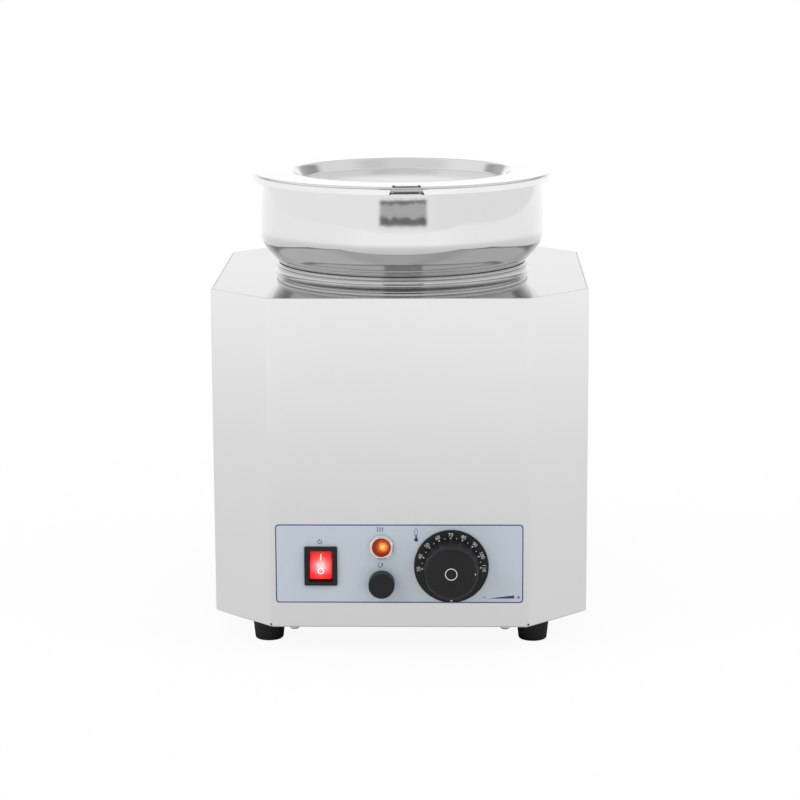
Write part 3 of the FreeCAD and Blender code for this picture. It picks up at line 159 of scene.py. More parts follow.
def offset_line(line: Array, distance: float) -> Array:
    """Line moved to its left by a distance, mitred at its points.

    The shift at a point is along the mean of its two chords' left normals, divided by the cosine
    of half the turn there.

    Args:
        line: Open line of points.
        distance: Shift, positive to the left of the way the line runs.

    Returns:
        As many points as the line has.
    """
    chords = np.diff(line, axis=0)
    chords /= np.maximum(np.linalg.norm(chords, axis=1, keepdims=True), 1e-12)
    normals = np.column_stack([-chords[:, 1], chords[:, 0]])
    before = np.vstack([normals[:1], normals])
    after = np.vstack([normals, normals[-1:]])
    mean = before + after
    mean /= np.linalg.norm(mean, axis=1, keepdims=True)
    stretch = 1 / np.maximum((mean * after).sum(1, keepdims=True), 0.35)
    return line + mean * stretch * distance


def thick_line(line: Array, thickness: float) -> Array:
    """Line out along a sheet's one face and back along its other face.

    Args:
        line: Face of the sheet.
        thickness: Distance to the other face, positive to the left of the line.

    Returns:
        Points of both faces in one run.
    """
    return np.vstack([line, offset_line(line, thickness)[::-1]])


def rounded_rectangle(half_x: float, half_y: float, radius: float, chords: int = 6) -> Array:
    """Closed outline of a rectangle with round corners, counter-clockwise.

    Args:
        half_x: Half of its width.
        half_y: Half of its height.
        radius: Radius of its corners.
        chords: Chords in each corner.

    Returns:
        Points, one row each, with as many for any size.
    """
    radius = max(radius, 1e-4)
    centres = [(half_x - radius, half_y - radius, 0), (radius - half_x, half_y - radius, 90),
               (radius - half_x, radius - half_y, 180), (half_x - radius, radius - half_y, 270)]
    return np.vstack([arc((x, y), radius, turn, turn + 90, chords) for x, y, turn in centres])


def rounded_polygon(across_flats: float, sides: int, radius: float, chords: int = 5) -> Array:
    """Closed outline of a regular polygon with round corners, counter-clockwise.

    Args:
        across_flats: Distance between opposite flats.
        sides: Number of sides.
        radius: Radius of its corners.
        chords: Chords in each corner.

    Returns:
        Points, one row each.
    """
    centre_r = (across_flats / 2 - radius) / math.cos(math.pi / sides)
    parts = []
    for k in range(sides):
        turn = 360 * k / sides
        middle = (centre_r * math.cos(math.radians(turn)), centre_r * math.sin(math.radians(turn)))
        parts.append(arc(middle, radius, turn - 180 / sides, turn + 180 / sides, chords))
    return np.vstack(parts)


def revolve(line: Array, segments: int) -> Array:
    """Grid of a line of (radius, height) turned about the Z axis.

    A grid point is (radius * cos a, radius * sin a, height) for each angle a of the turn.

    Args:
        line: Points (radius, height).
        segments: Steps of the full turn.

    Returns:
        Grid of points, segments by points of the line by 3.
    """
    angles = np.linspace(0, TURN, segments, endpoint=False)
    radius = line[None, :, 0]
    x = radius * np.cos(angles)[:, None]
    y = radius * np.sin(angles)[:, None]
    z = np.broadcast_to(line[None, :, 1], x.shape)
    return np.stack([x, y, z], axis=-1)


def stack(outlines: list[Array], heights: list[float | Array]) -> Array:
    """Grid of outlines laid one above the other.

    Args:
        outlines: Closed outlines with equal numbers of points.
        heights: Height of each outline, one value or one for each point.

    Returns:
        Grid of points, outlines by points by 3.
    """
    rows = [np.column_stack([outline, np.broadcast_to(height, len(outline))])
            for outline, height in zip(outlines, heights)]
    return np.stack(rows)


def grid_faces(rows: int, columns: int, wrap_rows: bool, wrap_columns: bool) -> Array:
    """Quads that join neighbours in a grid whose points are numbered row by row.

    Args:
        rows: Number of rows.
        columns: Number of columns.
        wrap_rows: Whether the last row joins the first.
        wrap_columns: Whether the last column joins the first.

    Returns:
        Faces, four numbers each, shaped rows by columns of cells by 4.
    """
    i = np.arange(rows if wrap_rows else rows - 1)[:, None]
    j = np.arange(columns if wrap_columns else columns - 1)[None, :]
    down = (i + 1) % rows
    right = (j + 1) % columns
    shape = np.broadcast(i, j).shape
    quad = (i * columns + j, down * columns + j, down * columns + right, i * columns + right)
    return np.stack([np.broadcast_to(corner, shape) for corner in quad], axis=-1)


def single_points(points: Array) -> tuple[Array, Array]:
    """Numbers of the points that differ by more than 0.1 micrometre, and each point's own one."""
    keys = np.round(points * 1e4).astype(np.int64)
    _, first, inverse = np.unique(keys, axis=0, return_index=True, return_inverse=True)
    return first, inverse.reshape(-1)


def weld(points: Array, faces: Array) -> tuple[Array, list[list[int]]]:
    """Joins points that lie together and drops the sides that vanish with them.

    Args:
        points: Points in millimetres.
        faces: Quads.

    Returns:
        Single points, and faces of three or four corners.
    """
    first, single = single_points(points)
    quads = single[faces.reshape(-1, 4)]
    same = quads == np.roll(quads, -1, axis=1)
    doubles = same.sum(1)
    whole = quads[doubles == 0]
    out = whole.tolist()
    for side in range(4):
        pinched = quads[(doubles == 1) & same[:, side]]
        out += np.delete(pinched, side, axis=1).tolist()
    return points[first], [face for face in out if len(set(face)) == len(face)]


def signed_volume(points: Array, faces: list[list[int]]) -> float:
    """Volume inside a closed mesh, negative if its faces point inwards.

    Args:
        points: Points of the mesh.
        faces: Faces of three or four corners.

    Returns:
        Sum of a . (b x c) / 6 over the triangles of the faces.
    """
    corners = np.array([face[:3] for face in faces]
                       + [[face[0], *face[2:]] for face in faces if len(face) == 4])
    a, b, c = points[corners[:, 0]], points[corners[:, 1]], points[corners[:, 2]]
    return float((a * np.cross(b, c)).sum() / 6)


def placed(points: Array, facing: Facing, place: tuple[float, float, float]) -> Array:
    """Points drawn with their panel at z = 0 and their outside at +Z, put on a panel.

    On the front, up is +Z and out is -Y. On the back, up is +Z, out is +Y and +X is mirrored by a
    half turn. Underneath, out is -Z.

    Args:
        points: Points, any shape by 3.
        facing: The panel.
        place: Where the drawing's origin goes.

    Returns:
        Points in the frame.
    """
    x, y, z = points[..., 0], points[..., 1], points[..., 2]
    turned = {Facing.FRONT: (x, -z, y), Facing.BACK: (-x, z, y), Facing.TOP: (x, y, z),
              Facing.UNDER: (x, -y, -z)}[facing]
    return np.stack(turned, axis=-1) + np.asarray(place, float)


@dataclass
class Surface:
    """Points and faces of one piece in millimetres, before they become a mesh."""

    points: Array
    faces: list[list[int]]

    @classmethod
    def from_grid(cls, grid: Array, wrap_rows: bool = False, wrap_columns: bool = True,
                  keep: Array | None = None) -> "Surface":
        """Surface of a grid of points.

        Args:
            grid: Rows by columns by 3.
            wrap_rows: Whether the last row joins the first.
            wrap_columns: Whether the last column joins the first.
            keep: Mask over the cells, true where there is sheet.

        Returns:
            The surface, with its faces outwards if it is closed.
        """
        rows, columns = grid.shape[:2]
        faces = grid_faces(rows, columns, wrap_rows, wrap_columns)
        if keep is not None:
            faces = faces[keep]
        points, polygons = weld(grid.reshape(-1, 3), faces.reshape(-1, 4))
        return cls(points, polygons).outwards()

    @classmethod
    def turned(cls, line: Array, segments: int, closed: bool = False) -> "Surface":
        """Surface of a line of (radius, height) turned about Z.

        Args:
            line: Points (radius, height).
            segments: Steps of the full turn.
            closed: Whether the line's end joins its start.

        Returns:
            The surface.
        """
        return cls.from_grid(revolve(line, segments), wrap_rows=True, wrap_columns=closed)

    def outwards(self) -> "Surface":
        """The same surface with its faces turned outwards."""
        if signed_volume(self.points - self.points.mean(0), self.faces) < 0:
            self.faces = [face[::-1] for face in self.faces]
        return self

    def moved(self, facing: Facing, place: tuple[float, float, float]) -> "Surface":
        """The same surface put on a panel at a place."""
        return Surface(placed(self.points, facing, place), self.faces)

    def __add__(self, other: "Surface") -> "Surface":
        """Both surfaces as one."""
        shift = len(self.points)
        return Surface(np.vstack([self.points, other.points]),
                       self.faces + [[k + shift for k in face] for face in other.faces])


def joined(surfaces: list[Surface]) -> Surface:
    """Several surfaces as one."""
    whole = surfaces[0]
    for surface in surfaces[1:]:
        whole = whole + surface
    return whole


def ribbon(path: Array, width: float, height: float, closed: bool = False) -> Surface:
    """Printed stroke: a flat bar of oblong section along a path.

    Each path point carries four corners, half the width to either side along the mean left normal
    of its chords, at z = 0 and z = height.

    Args:
        path: Points of the stroke's middle.
        width: Width of the stroke.
        height: How far it stands up.
        closed: Whether the stroke meets its own start.

    Returns:
        The bar's surface.
    """
    line = np.vstack([path[-1:], path, path[:1]]) if closed else path
    left = offset_line(line, width / 2)
    right = offset_line(line, -width / 2)
    if closed:
        left, right = left[1:-1], right[1:-1]
    corners = [np.column_stack([side, np.full(len(side), z)])
               for side, z in ((left, 0), (left, height), (right, height), (right, 0))]
    grid = np.stack(corners, axis=1)
    if not closed:
        start = np.broadcast_to(grid[0].mean(0), grid[0].shape)
        end = np.broadcast_to(grid[-1].mean(0), grid[-1].shape)
        grid = np.concatenate([start[None], grid, end[None]])
    return Surface.from_grid(grid, wrap_rows=closed)


def disc(radius: float, height: float, centre: tuple[float, float] = (0, 0), low: float = 0) -> Surface:
    """Printed dot: a flat round disc.

    Args:
        radius: Its radius.
        height: How far it stands up.
        centre: Its middle.
        low: Height of its underside.

    Returns:
        The disc's surface.
    """
    line = np.array([(0, low), (radius, low), (radius, low + height), (0, low + height)])
    surface = Surface.turned(line, 24)
    return Surface(surface.points + np.array([centre[0], centre[1], 0]), surface.faces)


# Materials

class Effect:
    """Node groups that more than one finish uses, each built once."""

    _made: dict[str, bpy.types.NodeTree] = {}

    @classmethod
    def group(cls, name: str, inputs: dict[str, float],
              outputs: list[str]) -> tuple[bpy.types.NodeTree, bool]:
        """Finds or starts a group.

        Args:
            name: Name of the group.
            inputs: Number sockets with their first values; a Vector input is always there.
            outputs: Number sockets that the group puts out.

        Returns:
            The group and whether it is new.
        """
        if name in cls._made:
            return cls._made[name], False
        tree = bpy.data.node_groups.new(name, "ShaderNodeTree")
        tree.interface.new_socket(name="Vector", in_out="INPUT", socket_type="NodeSocketVector")
        for label, value in inputs.items():
            socket = tree.interface.new_socket(name=label, in_out="INPUT",
                                               socket_type="NodeSocketFloat")
            socket.default_value = value
        for label in outputs:
            tree.interface.new_socket(name=label, in_out="OUTPUT", socket_type="NodeSocketFloat")
        cls._made[name] = tree
        return tree, True

    @classmethod
    def grain(cls) -> bpy.types.NodeTree:
        """Fine parallel lines of a brushed sheet, long in one direction."""
        tree, new = cls.group("brushed_grain", {"Lines": 5200.0, "Length": 60.0}, ["Height"])
        if new:
            nodes = Nodes(tree)
            given = nodes.add("NodeGroupInput")
            parts = nodes.add("ShaderNodeSeparateXYZ", Vector=given.outputs["Vector"])
            across = nodes.math("MULTIPLY", parts.outputs["Z"], given.outputs["Lines"])
            side = nodes.math("ADD", parts.outputs["X"], parts.outputs["Y"])
            along = nodes.math("MULTIPLY", side, given.outputs["Length"])
            place = nodes.add("ShaderNodeCombineXYZ", X=along, Y=across)
            noise = nodes.noise(place.outputs[0], 1.0, 2.0, 0.6)
            nodes.finish(Height=noise)
        return tree

    @classmethod
    def spun(cls) -> bpy.types.NodeTree:
        """Rings left by a polishing wheel round the Z axis: noise over radius and height."""
        tree, new = cls.group("spun_rings", {"Lines": 2600.0}, ["Height"])
        if new:
            nodes = Nodes(tree)
            given = nodes.add("NodeGroupInput")
            parts = nodes.add("ShaderNodeSeparateXYZ", Vector=given.outputs["Vector"])
            flat = nodes.add("ShaderNodeCombineXYZ", X=parts.outputs["X"], Y=parts.outputs["Y"])
            radius = nodes.add("ShaderNodeVectorMath", operation="LENGTH")
            nodes.link(flat.outputs[0], radius.inputs[0])
            ring = nodes.math("MULTIPLY", radius.outputs["Value"], given.outputs["Lines"])
            level = nodes.math("MULTIPLY", parts.outputs["Z"], given.outputs["Lines"])
            place = nodes.add("ShaderNodeCombineXYZ", X=ring, Y=level)
            noise = nodes.noise(place.outputs[0], 1.0, 3.0, 0.55)
            nodes.finish(Height=noise)
        return tree

    @classmethod
    def cloud(cls) -> bpy.types.NodeTree:
        """Soft patches, for handling marks and slow changes over a surface."""
        tree, new = cls.group("soft_patches", {"Scale": 14.0, "Detail": 3.0}, ["Mask"])
        if new:
            nodes = Nodes(tree)
            given = nodes.add("NodeGroupInput")
            noise = nodes.noise(given.outputs["Vector"], given.outputs["Scale"],
                                given.outputs["Detail"], 0.5)
            nodes.finish(Mask=noise)
        return tree

    @classmethod
    def pebble(cls) -> bpy.types.NodeTree:
        """Fine moulded texture of small rounded grains."""
        tree, new = cls.group("moulded_pebble", {"Scale": 2200.0}, ["Height"])
        if new:
            nodes = Nodes(tree)
            given = nodes.add("NodeGroupInput")
            cells = nodes.add("ShaderNodeTexVoronoi", feature="SMOOTH_F1")
            nodes.link(given.outputs["Vector"], cells.inputs["Vector"])
            nodes.link(given.outputs["Scale"], cells.inputs["Scale"])
            nodes.finish(Height=cells.outputs["Distance"])
        return tree


class Nodes:
    """Short ways to add and join nodes in one tree."""

    def __init__(self, tree: bpy.types.NodeTree) -> None:
        """Works on a node tree."""
        self.tree = tree

    def link(self, source: bpy.types.NodeSocket, target: bpy.types.NodeSocket) -> None:
        """Joins two sockets."""
        self.tree.links.new(source, target)

    def add(self, kind: str, **given: object) -> bpy.types.Node:
        """Adds a node and sets its properties and inputs.

        Args:
            kind: Type name of the node.
            given: Properties by their own names, and inputs by socket name with _ for a space.

        Returns:
            The node.
        """
        node = self.tree.nodes.new(kind)
        for name, value in given.items():
            socket = node.inputs.get(name.replace("_", " "))
            if socket is None:
                setattr(node, name, value)
            elif isinstance(value, bpy.types.NodeSocket):
                self.link(value, socket)
            else:
                socket.default_value = value
        return node

    def math(self, operation: str, first: object, second: object = None, third: object = None,
             clamp: bool = False) -> bpy.types.NodeSocket:
        """Adds a Math node.

        Args:
            operation: What it does.
            first: First number or socket.
            second: Second number or socket.
            third: Third number or socket.
            clamp: Whether the result stays between 0 and 1.

        Returns:
            Its result.
        """
        node = self.tree.nodes.new("ShaderNodeMath")
        node.operation = operation
        node.use_clamp = clamp
        for socket, value in zip(node.inputs, (first, second, third)):
            if isinstance(value, bpy.types.NodeSocket):
                self.link(value, socket)
            elif value is not None:
                socket.default_value = value
        return node.outputs[0]

    def noise(self, place: object, scale: object, detail: object, rough: float) -> bpy.types.NodeSocket:
        """Adds a noise texture and gives its value.

        Args:
            place: Socket that the noise is read at.
            scale: Number or socket.
            detail: Number or socket.
            rough: Roughness of the noise.

        Returns:
            Its value.
        """
        node = self.add("ShaderNodeTexNoise", Scale=scale, Detail=detail, Roughness=rough)
        self.link(place, node.inputs["Vector"])
        return node.outputs[0]

    def spread(self, value: bpy.types.NodeSocket, low: float, high: float, start: float = 0.3,
               end: float = 0.7) -> bpy.types.NodeSocket:
        """Maps a value from start..end to low..high, held at both ends."""
        node = self.add("ShaderNodeMapRange", Value=value)
        for name, number in (("From Min", start), ("From Max", end), ("To Min", low), ("To Max", high)):
            node.inputs[name].default_value = number
        return node.outputs[0]

    def mix(self, mask: object, first: object, second: object) -> bpy.types.NodeSocket:
        """Blends two colours or colour sockets by a mask."""
        node = self.add("ShaderNodeMix", data_type="RGBA")
        for number, value in ((0, mask), (6, first), (7, second)):
            socket = node.inputs[number]
            if isinstance(value, bpy.types.NodeSocket):
                self.link(value, socket)
            elif isinstance(value, tuple):
                socket.default_value = (*value, 1.0)
            else:
                socket.default_value = value
        return node.outputs[2]

    def ramp(self, value: bpy.types.NodeSocket,
             stops: list[tuple[float, Colour]]) -> bpy.types.NodeSocket:
        """Colour ramp over a value.

        Args:
            value: Socket from 0 to 1.
            stops: Positions and colours.

        Returns:
            The colour.
        """
        node = self.add("ShaderNodeValToRGB")
        self.link(value, node.inputs[0])
        elements = node.color_ramp.elements
        while len(elements) < len(stops):
            elements.new(0.5)
        for element, (position, colour) in zip(elements, stops):
            element.position = position
            element.color = (*colour, 1.0)
        return node.outputs[0]

    def bump(self, height: bpy.types.NodeSocket, strength: float, distance: float,
             under: bpy.types.NodeSocket | None = None) -> bpy.types.NodeSocket:
        """Bump from a height; `under` is a normal that it adds to."""
        node = self.add("ShaderNodeBump", Strength=strength, Distance=distance)
        self.link(height, node.inputs["Height"])
        if under is not None:
            self.link(under, node.inputs["Normal"])
        return node.outputs[0]

    def finish(self, **outputs: bpy.types.NodeSocket) -> None:
        """Joins sockets to a group's outputs by name."""
        node = self.tree.nodes.new("NodeGroupOutput")
        for name, socket in outputs.items():
            self.link(socket, node.inputs[name])


@dataclass(frozen=True)
class Finish:
    """A finish with one Principled shader."""

    name: str
    colour: Colour
    rough: float = 0.4
    metal: float = 0.0
    specular: float = 0.5

    def start(self) -> tuple[bpy.types.Material, Nodes, bpy.types.Node, bpy.types.NodeSocket]:
        """Makes the material and its shader.

        Returns:
            The material, its nodes, the shader and the object coordinates.
        """
        material = bpy.data.materials.new(self.name)
        material.use_nodes = True
        nodes = Nodes(material.node_tree)
        shader = material.node_tree.nodes["Principled BSDF"]
        shader.inputs["Base Color"].default_value = (*self.colour, 1.0)
        shader.inputs["Roughness"].default_value = self.rough
        shader.inputs["Metallic"].default_value = self.metal
        shader.inputs["Specular IOR Level"].default_value = self.specular
        place = nodes.add("ShaderNodeTexCoord").outputs["Object"]
        material.diffuse_color = (*self.colour, 1.0)
        return material, nodes, shader, place

    def tones(self, nodes: Nodes, shader: bpy.types.Node, mask: bpy.types.NodeSocket,
              share: float) -> None:
        """Lets the colour go up and down by a share of itself with a mask."""
        dark = tuple(c * (1 - share) for c in self.colour)
        light = tuple(min(1.0, c * (1 + share)) for c in self.colour)
        nodes.link(nodes.mix(mask, dark, light), shader.inputs["Base Color"])

    def effect(self, nodes: Nodes, tree: bpy.types.NodeTree, place: bpy.types.NodeSocket,
               **values: float) -> bpy.types.NodeSocket:
        """Places a shared effect with its own values and gives its result."""
        node = nodes.add("ShaderNodeGroup", node_tree=tree)
        nodes.link(place, node.inputs["Vector"])
        for name, value in values.items():
            node.inputs[name].default_value = value
        return node.outputs[0]

    def make(self) -> bpy.types.Material:
        """Makes the material."""
        material, nodes, shader, place = self.start()
        mask = self.effect(nodes, Effect.cloud(), place)
        self.tones(nodes, shader, mask, 0.06)
        nodes.link(nodes.spread(mask, self.rough * 0.9, self.rough * 1.15), shader.inputs["Roughness"])
        return material


@dataclass(frozen=True)
class SheetSteel(Finish):
    """Brushed or bright-rolled sheet with faint grain and handling marks."""

    lines: float = 5200.0
    length: float = 60.0
    grain: float = 0.05
    wave: float = 0.0

    def make(self) -> bpy.types.Material:
        """Makes the material: grain in the bump, patches in the roughness and tone."""
        material, nodes, shader, place = self.start()
        height = self.effect(nodes, Effect.grain(), place, Lines=self.lines, Length=self.length)
        mask = self.effect(nodes, Effect.cloud(), place, Scale=9.0, Detail=2.0)
        self.tones(nodes, shader, height, 0.012)
        rough = nodes.spread(mask, self.rough * 0.9, self.rough * 1.1, 0.0, 1.0)
        nodes.link(rough, shader.inputs["Roughness"])
        normal = nodes.bump(height, self.grain, 0.0001)
        if self.wave:
            swell = self.effect(nodes, Effect.cloud(), place, Scale=11.0, Detail=0.0)
            normal = nodes.bump(swell, self.wave, 0.001, normal)
        nodes.link(normal, shader.inputs["Normal"])
        return material


@dataclass(frozen=True)
class SpunSteel(Finish):
    """Polished spun steel with rings round the pot's axis."""

    lines: float = 2600.0
    depth: float = 0.03

    def make(self) -> bpy.types.Material:
        """Makes the material: rings in the bump, patches in the roughness."""
        material, nodes, shader, place = self.start()
        height = self.effect(nodes, Effect.spun(), place, Lines=self.lines)
        mask = self.effect(nodes, Effect.cloud(), place, Scale=16.0, Detail=3.0)
        self.tones(nodes, shader, height, 0.015)
        nodes.link(nodes.spread(mask, self.rough * 0.75, self.rough * 1.35), shader.inputs["Roughness"])
        nodes.link(nodes.bump(height, self.depth, 0.0001), shader.inputs["Normal"])
        return material


@dataclass(frozen=True)
class Moulding(Finish):
    """Moulded plastic or rubber with a fine pebble texture."""

    pebble: float = 2200.0
    depth: float = 0.12

    def make(self) -> bpy.types.Material:
        """Makes the material: pebble in the bump, patches in the tone and roughness."""
        material, nodes, shader, place = self.start()
        height = self.effect(nodes, Effect.pebble(), place, Scale=self.pebble)
        mask = self.effect(nodes, Effect.cloud(), place, Scale=60.0, Detail=4.0)
        self.tones(nodes, shader, mask, 0.18)
        nodes.link(nodes.spread(mask, self.rough * 0.9, self.rough * 1.12), shader.inputs["Roughness"])
        nodes.link(nodes.bump(height, self.depth, 0.0001), shader.inputs["Normal"])
        return material


@dataclass(frozen=True)
class Glow(Finish):
    """Translucent plastic lit from behind, brightest round a middle point."""

    middle: tuple[float, float, float] = (0.0, 0.0, 0.0)
    reach: float = 0.01
    stops: tuple[tuple[float, Colour], ...] = ()
    strength: float = 1.0
    ripples: float = 0.0

    def make(self) -> bpy.types.Material:
        """Makes the material: the light's colour follows the distance from the middle point."""
        material, nodes, shader, place = self.start()
        centred = nodes.add("ShaderNodeMapping", vector_type="POINT")
        nodes.link(place, centred.inputs["Vector"])
        scale = (1 / self.reach,) * 3
        centred.inputs["Scale"].default_value = scale
        centred.inputs["Location"].default_value = tuple(-m * s for m, s in zip(self.middle, scale))
        away = nodes.add("ShaderNodeVectorMath", operation="LENGTH")
        nodes.link(centred.outputs[0], away.inputs[0])
        distance = away.outputs["Value"]
        patches = self.effect(nodes, Effect.cloud(), place, Scale=420.0, Detail=2.0)
        distance = nodes.math("ADD", distance, nodes.spread(patches, -0.05, 0.05))
        if self.ripples:
            wave = nodes.math("SINE", nodes.math("MULTIPLY", distance, self.ripples))
            distance = nodes.math("ADD", distance, nodes.math("MULTIPLY", wave, 0.06), clamp=True)
        light = nodes.ramp(distance, list(self.stops))
        nodes.link(light, shader.inputs["Emission Color"])
        shader.inputs["Emission Strength"].default_value = self.strength
        return material


@dataclass(frozen=True)
class Foil(Finish):
    """Printed foil: pale ground with a faint satin grain."""

    def make(self) -> bpy.types.Material:
        """Makes the material: soft patches in the tone and roughness and a fine grain."""
        material, nodes, shader, place = self.start()
        height = self.effect(nodes, Effect.grain(), place, Lines=9000.0, Length=400.0)
        mask = self.effect(nodes, Effect.cloud(), place, Scale=22.0, Detail=3.0)
        self.tones(nodes, shader, mask, 0.035)
        nodes.link(nodes.spread(mask, self.rough * 0.9, self.rough * 1.1), shader.inputs["Roughness"])
        nodes.link(nodes.bump(height, 0.05, 0.0001), shader.inputs["Normal"])
        return material


@dataclass(frozen=True)
class Wool(Finish):
    """Mineral wool: matted fibres."""

    def make(self) -> bpy.types.Material:
        """Makes the material: stretched noise for fibres in tone and bump."""
        material, nodes, shader, place = self.start()
        fibres = self.effect(nodes, Effect.grain(), place, Lines=1500.0, Length=500.0)
        self.tones(nodes, shader, fibres, 0.3)
        nodes.link(nodes.bump(fibres, 0.8, 0.001), shader.inputs["Normal"])
        return material


def srgb(red: int, green: int, blue: int) -> Colour:
    """Linear colour of a screen colour given as three numbers up to 255."""
    shares = np.array([red, green, blue]) / 255
    linear = np.where(shares <= 0.04045, shares / 12.92, ((shares + 0.055) / 1.055) ** 2.4)
    return tuple(float(c) for c in linear)


def even(level: float) -> Colour:
    """Neutral colour of one level."""
    return (level, level, level)


NAVY = "navy_print"
WHITE = "white_print"
# finish key of the pale band inside the label's border: a painted highlight
GLINT_PAINT = "painted_glint"
PIN_RED = "pin_red"
LIT = "lit_print"
# finish key of the darker rim steel: painted shade under the pot's belly
SHADED_RIM = "shaded_rolled_rim"
PRESSED = "pressed_steel"


def finishes() -> dict[str, Finish]:
    """Finish of each material slot and of the prints.

    Returns:
        Finishes by slot or print name.
    """
    rocker = ((0.0, srgb(255, 226, 228)), (0.2, srgb(255, 207, 213)), (0.4, srgb(255, 138, 141)),
              (0.56, srgb(254, 96, 100)), (0.7, srgb(250, 58, 64)), (0.88, srgb(243, 30, 30)),
              (1.0, srgb(196, 14, 14)))
    amber = ((0.0, srgb(255, 232, 160)), (0.2, srgb(252, 204, 118)), (0.38, srgb(232, 138, 50)),
             (0.55, srgb(196, 74, 8)), (0.74, srgb(142, 28, 0)), (1.0, srgb(112, 18, 4)))
    lit_white = ((0.0, srgb(255, 246, 246)), (1.0, srgb(255, 238, 238)))
    return {
        "shell_steel": SheetSteel("satin_sheet", even(0.92), 0.24, 1.0),
        "pot_steel": SpunSteel("polished_pot", even(0.76), 0.055, 1.0, depth=0.02),
        "polished_steel": SheetSteel("mirror_sheet", even(0.60), 0.06, 1.0, grain=0.02, wave=0.04),
        "fastener_steel": Finish("zinc_plate", (0.66, 0.67, 0.68), 0.3, 1.0),
        "foot_rubber": Moulding("foot_rubber", even(0.012), 0.62, specular=0.35, depth=0.2),
        "black_plastic": Moulding("black_moulding", even(0.010), 0.46, specular=0.35),
        "control_black": Moulding("control_black", even(0.009), 0.40, specular=0.35),
        "red_lens": Glow("lit_rocker", (0.30, 0.01, 0.01), 0.22, specular=0.4, reach=0.0112,
                         middle=(-0.0599, -0.1462, 0.0690), stops=rocker, strength=0.97),
        "amber_lens": Glow("lit_lamp", (0.06, 0.01, 0.0), 0.16, specular=0.3, reach=0.0073,
                           middle=(-0.0124, -0.1485, 0.0849), stops=amber, strength=0.97, ripples=26.0),
        "bright_ring": Finish("chrome_ring", even(0.86), 0.09, 1.0),
        "label_foil": Foil("label_foil", (0.54, 0.60, 0.665), 0.38, specular=0.4),
        "moulded_white": Moulding("white_moulding", (0.74, 0.73, 0.70), 0.4),
        "white_ceramic": Moulding("glazed_ceramic", (0.80, 0.79, 0.75), 0.3, pebble=1400.0, depth=0.05),
        "spreader_aluminium": SheetSteel("milled_aluminium", (0.78, 0.79, 0.80), 0.36, 1.0, grain=0.12),
        "element_sheath": Finish("heated_sheath", (0.26, 0.24, 0.23), 0.45, 1.0),
        "copper": Finish("copper_tube", (0.88, 0.45, 0.30), 0.28, 1.0),
        "brass": Finish("brass_blade", (0.82, 0.62, 0.27), 0.3, 1.0),
        "mineral_wool": Wool("mineral_wool", (0.62, 0.57, 0.42), 0.9, specular=0.1),
        NAVY: Finish("navy_ink", srgb(62, 68, 116), 0.5, specular=0.2),
        # pale band inside the label's border: a painted highlight
        WHITE: Finish("white_ink", even(0.72), 0.5, specular=0.2),
        GLINT_PAINT: Finish("painted_glint_ink", (0.66, 0.70, 0.76), 0.5, specular=0.2),
        LIT: Glow("lit_ink", even(0.7), 0.4, specular=0.2, stops=lit_white, strength=0.85),
        # darker copy of the spun steel for the well's rim: painted shade under the pot's belly
        SHADED_RIM: SpunSteel("shaded_rolled_rim", even(0.66), 0.15, 1.0, depth=0.02),
        PRESSED: SpunSteel("pressed_steel", even(0.84), 0.10, 1.0, depth=0.02),
        PIN_RED: Moulding("red_pin", (0.50, 0.02, 0.02), 0.35),
    }


# From surfaces to pieces

def solid_of(body: Surface, cutters: list[Surface]) -> Surface:
    """Surface with others cut out of it by an exact boolean.

    Args:
        body: A closed surface.
        cutters: Closed surfaces to take away.

    Returns:
        The cut surface.
    """
    scene = bpy.context.scene
    objects = []
    for surface in [body, *cutters]:
        mesh = bpy.data.meshes.new("cutting")
        mesh.from_pydata(surface.points.tolist(), [], surface.faces)
        holder = bpy.data.objects.new("cutting", mesh)
        scene.collection.objects.link(holder)
        objects.append(holder)
    for cutter in objects[1:]:
        step = objects[0].modifiers.new("cut", "BOOLEAN")
        step.operation = "DIFFERENCE"
        step.solver = "EXACT"
        step.object = cutter
    bpy.context.view_layer.update()
    result = objects[0].evaluated_get(bpy.context.evaluated_depsgraph_get()).to_mesh()
    points = np.zeros(len(result.vertices) * 3)
    result.vertices.foreach_get("co", points)
    faces = [list(polygon.vertices) for polygon in result.polygons]
    for holder in objects:
        bpy.data.objects.remove(holder)
    return Surface(points.reshape(-1, 3), faces)


def from_curve(curve: bpy.types.Curve, low: float, height: float) -> Surface:
    """Flat curve filled and given a height.

    Args:
        curve: Two-dimensional curve or text.
        low: Height of its underside.
        height: How far it stands up from there.

    Returns:
        The plate's surface.
    """
    curve.extrude = height / 2
    holder = bpy.data.objects.new("outline", curve)
    bpy.context.scene.collection.objects.link(holder)
    bpy.context.view_layer.update()
    mesh = holder.evaluated_get(bpy.context.evaluated_depsgraph_get()).to_mesh()
    points = np.zeros(len(mesh.vertices) * 3)
    mesh.vertices.foreach_get("co", points)
    faces = [list(polygon.vertices) for polygon in mesh.polygons]
    bpy.data.objects.remove(holder)
    points = points.reshape(-1, 3) + np.array([0, 0, low + height / 2])
    first, single = single_points(points)
    faces = [[int(single[k]) for k in face] for face in faces]
    return Surface(points[first], [face for face in faces if len(set(face)) == len(face)])


def plate(outlines: list[Array], low: float, height: float) -> Surface:
    """Flat plate: the first outline filled, the others left open inside it.

    Args:
        outlines: Closed outlines.
        low: Height of its underside.
        height: Its thickness.

    Returns:
        The plate's surface.
    """
    curve = bpy.data.curves.new("outline", "CURVE")
    curve.dimensions = "2D"
    curve.fill_mode = "BOTH"
    for outline in outlines:
        spline = curve.splines.new("POLY")
        spline.points.add(len(outline) - 1)
        values = np.column_stack([outline, np.zeros(len(outline)), np.ones(len(outline))])
        spline.points.foreach_set("co", values.ravel())
        spline.use_cyclic_u = True
    return from_curve(curve, low, height)


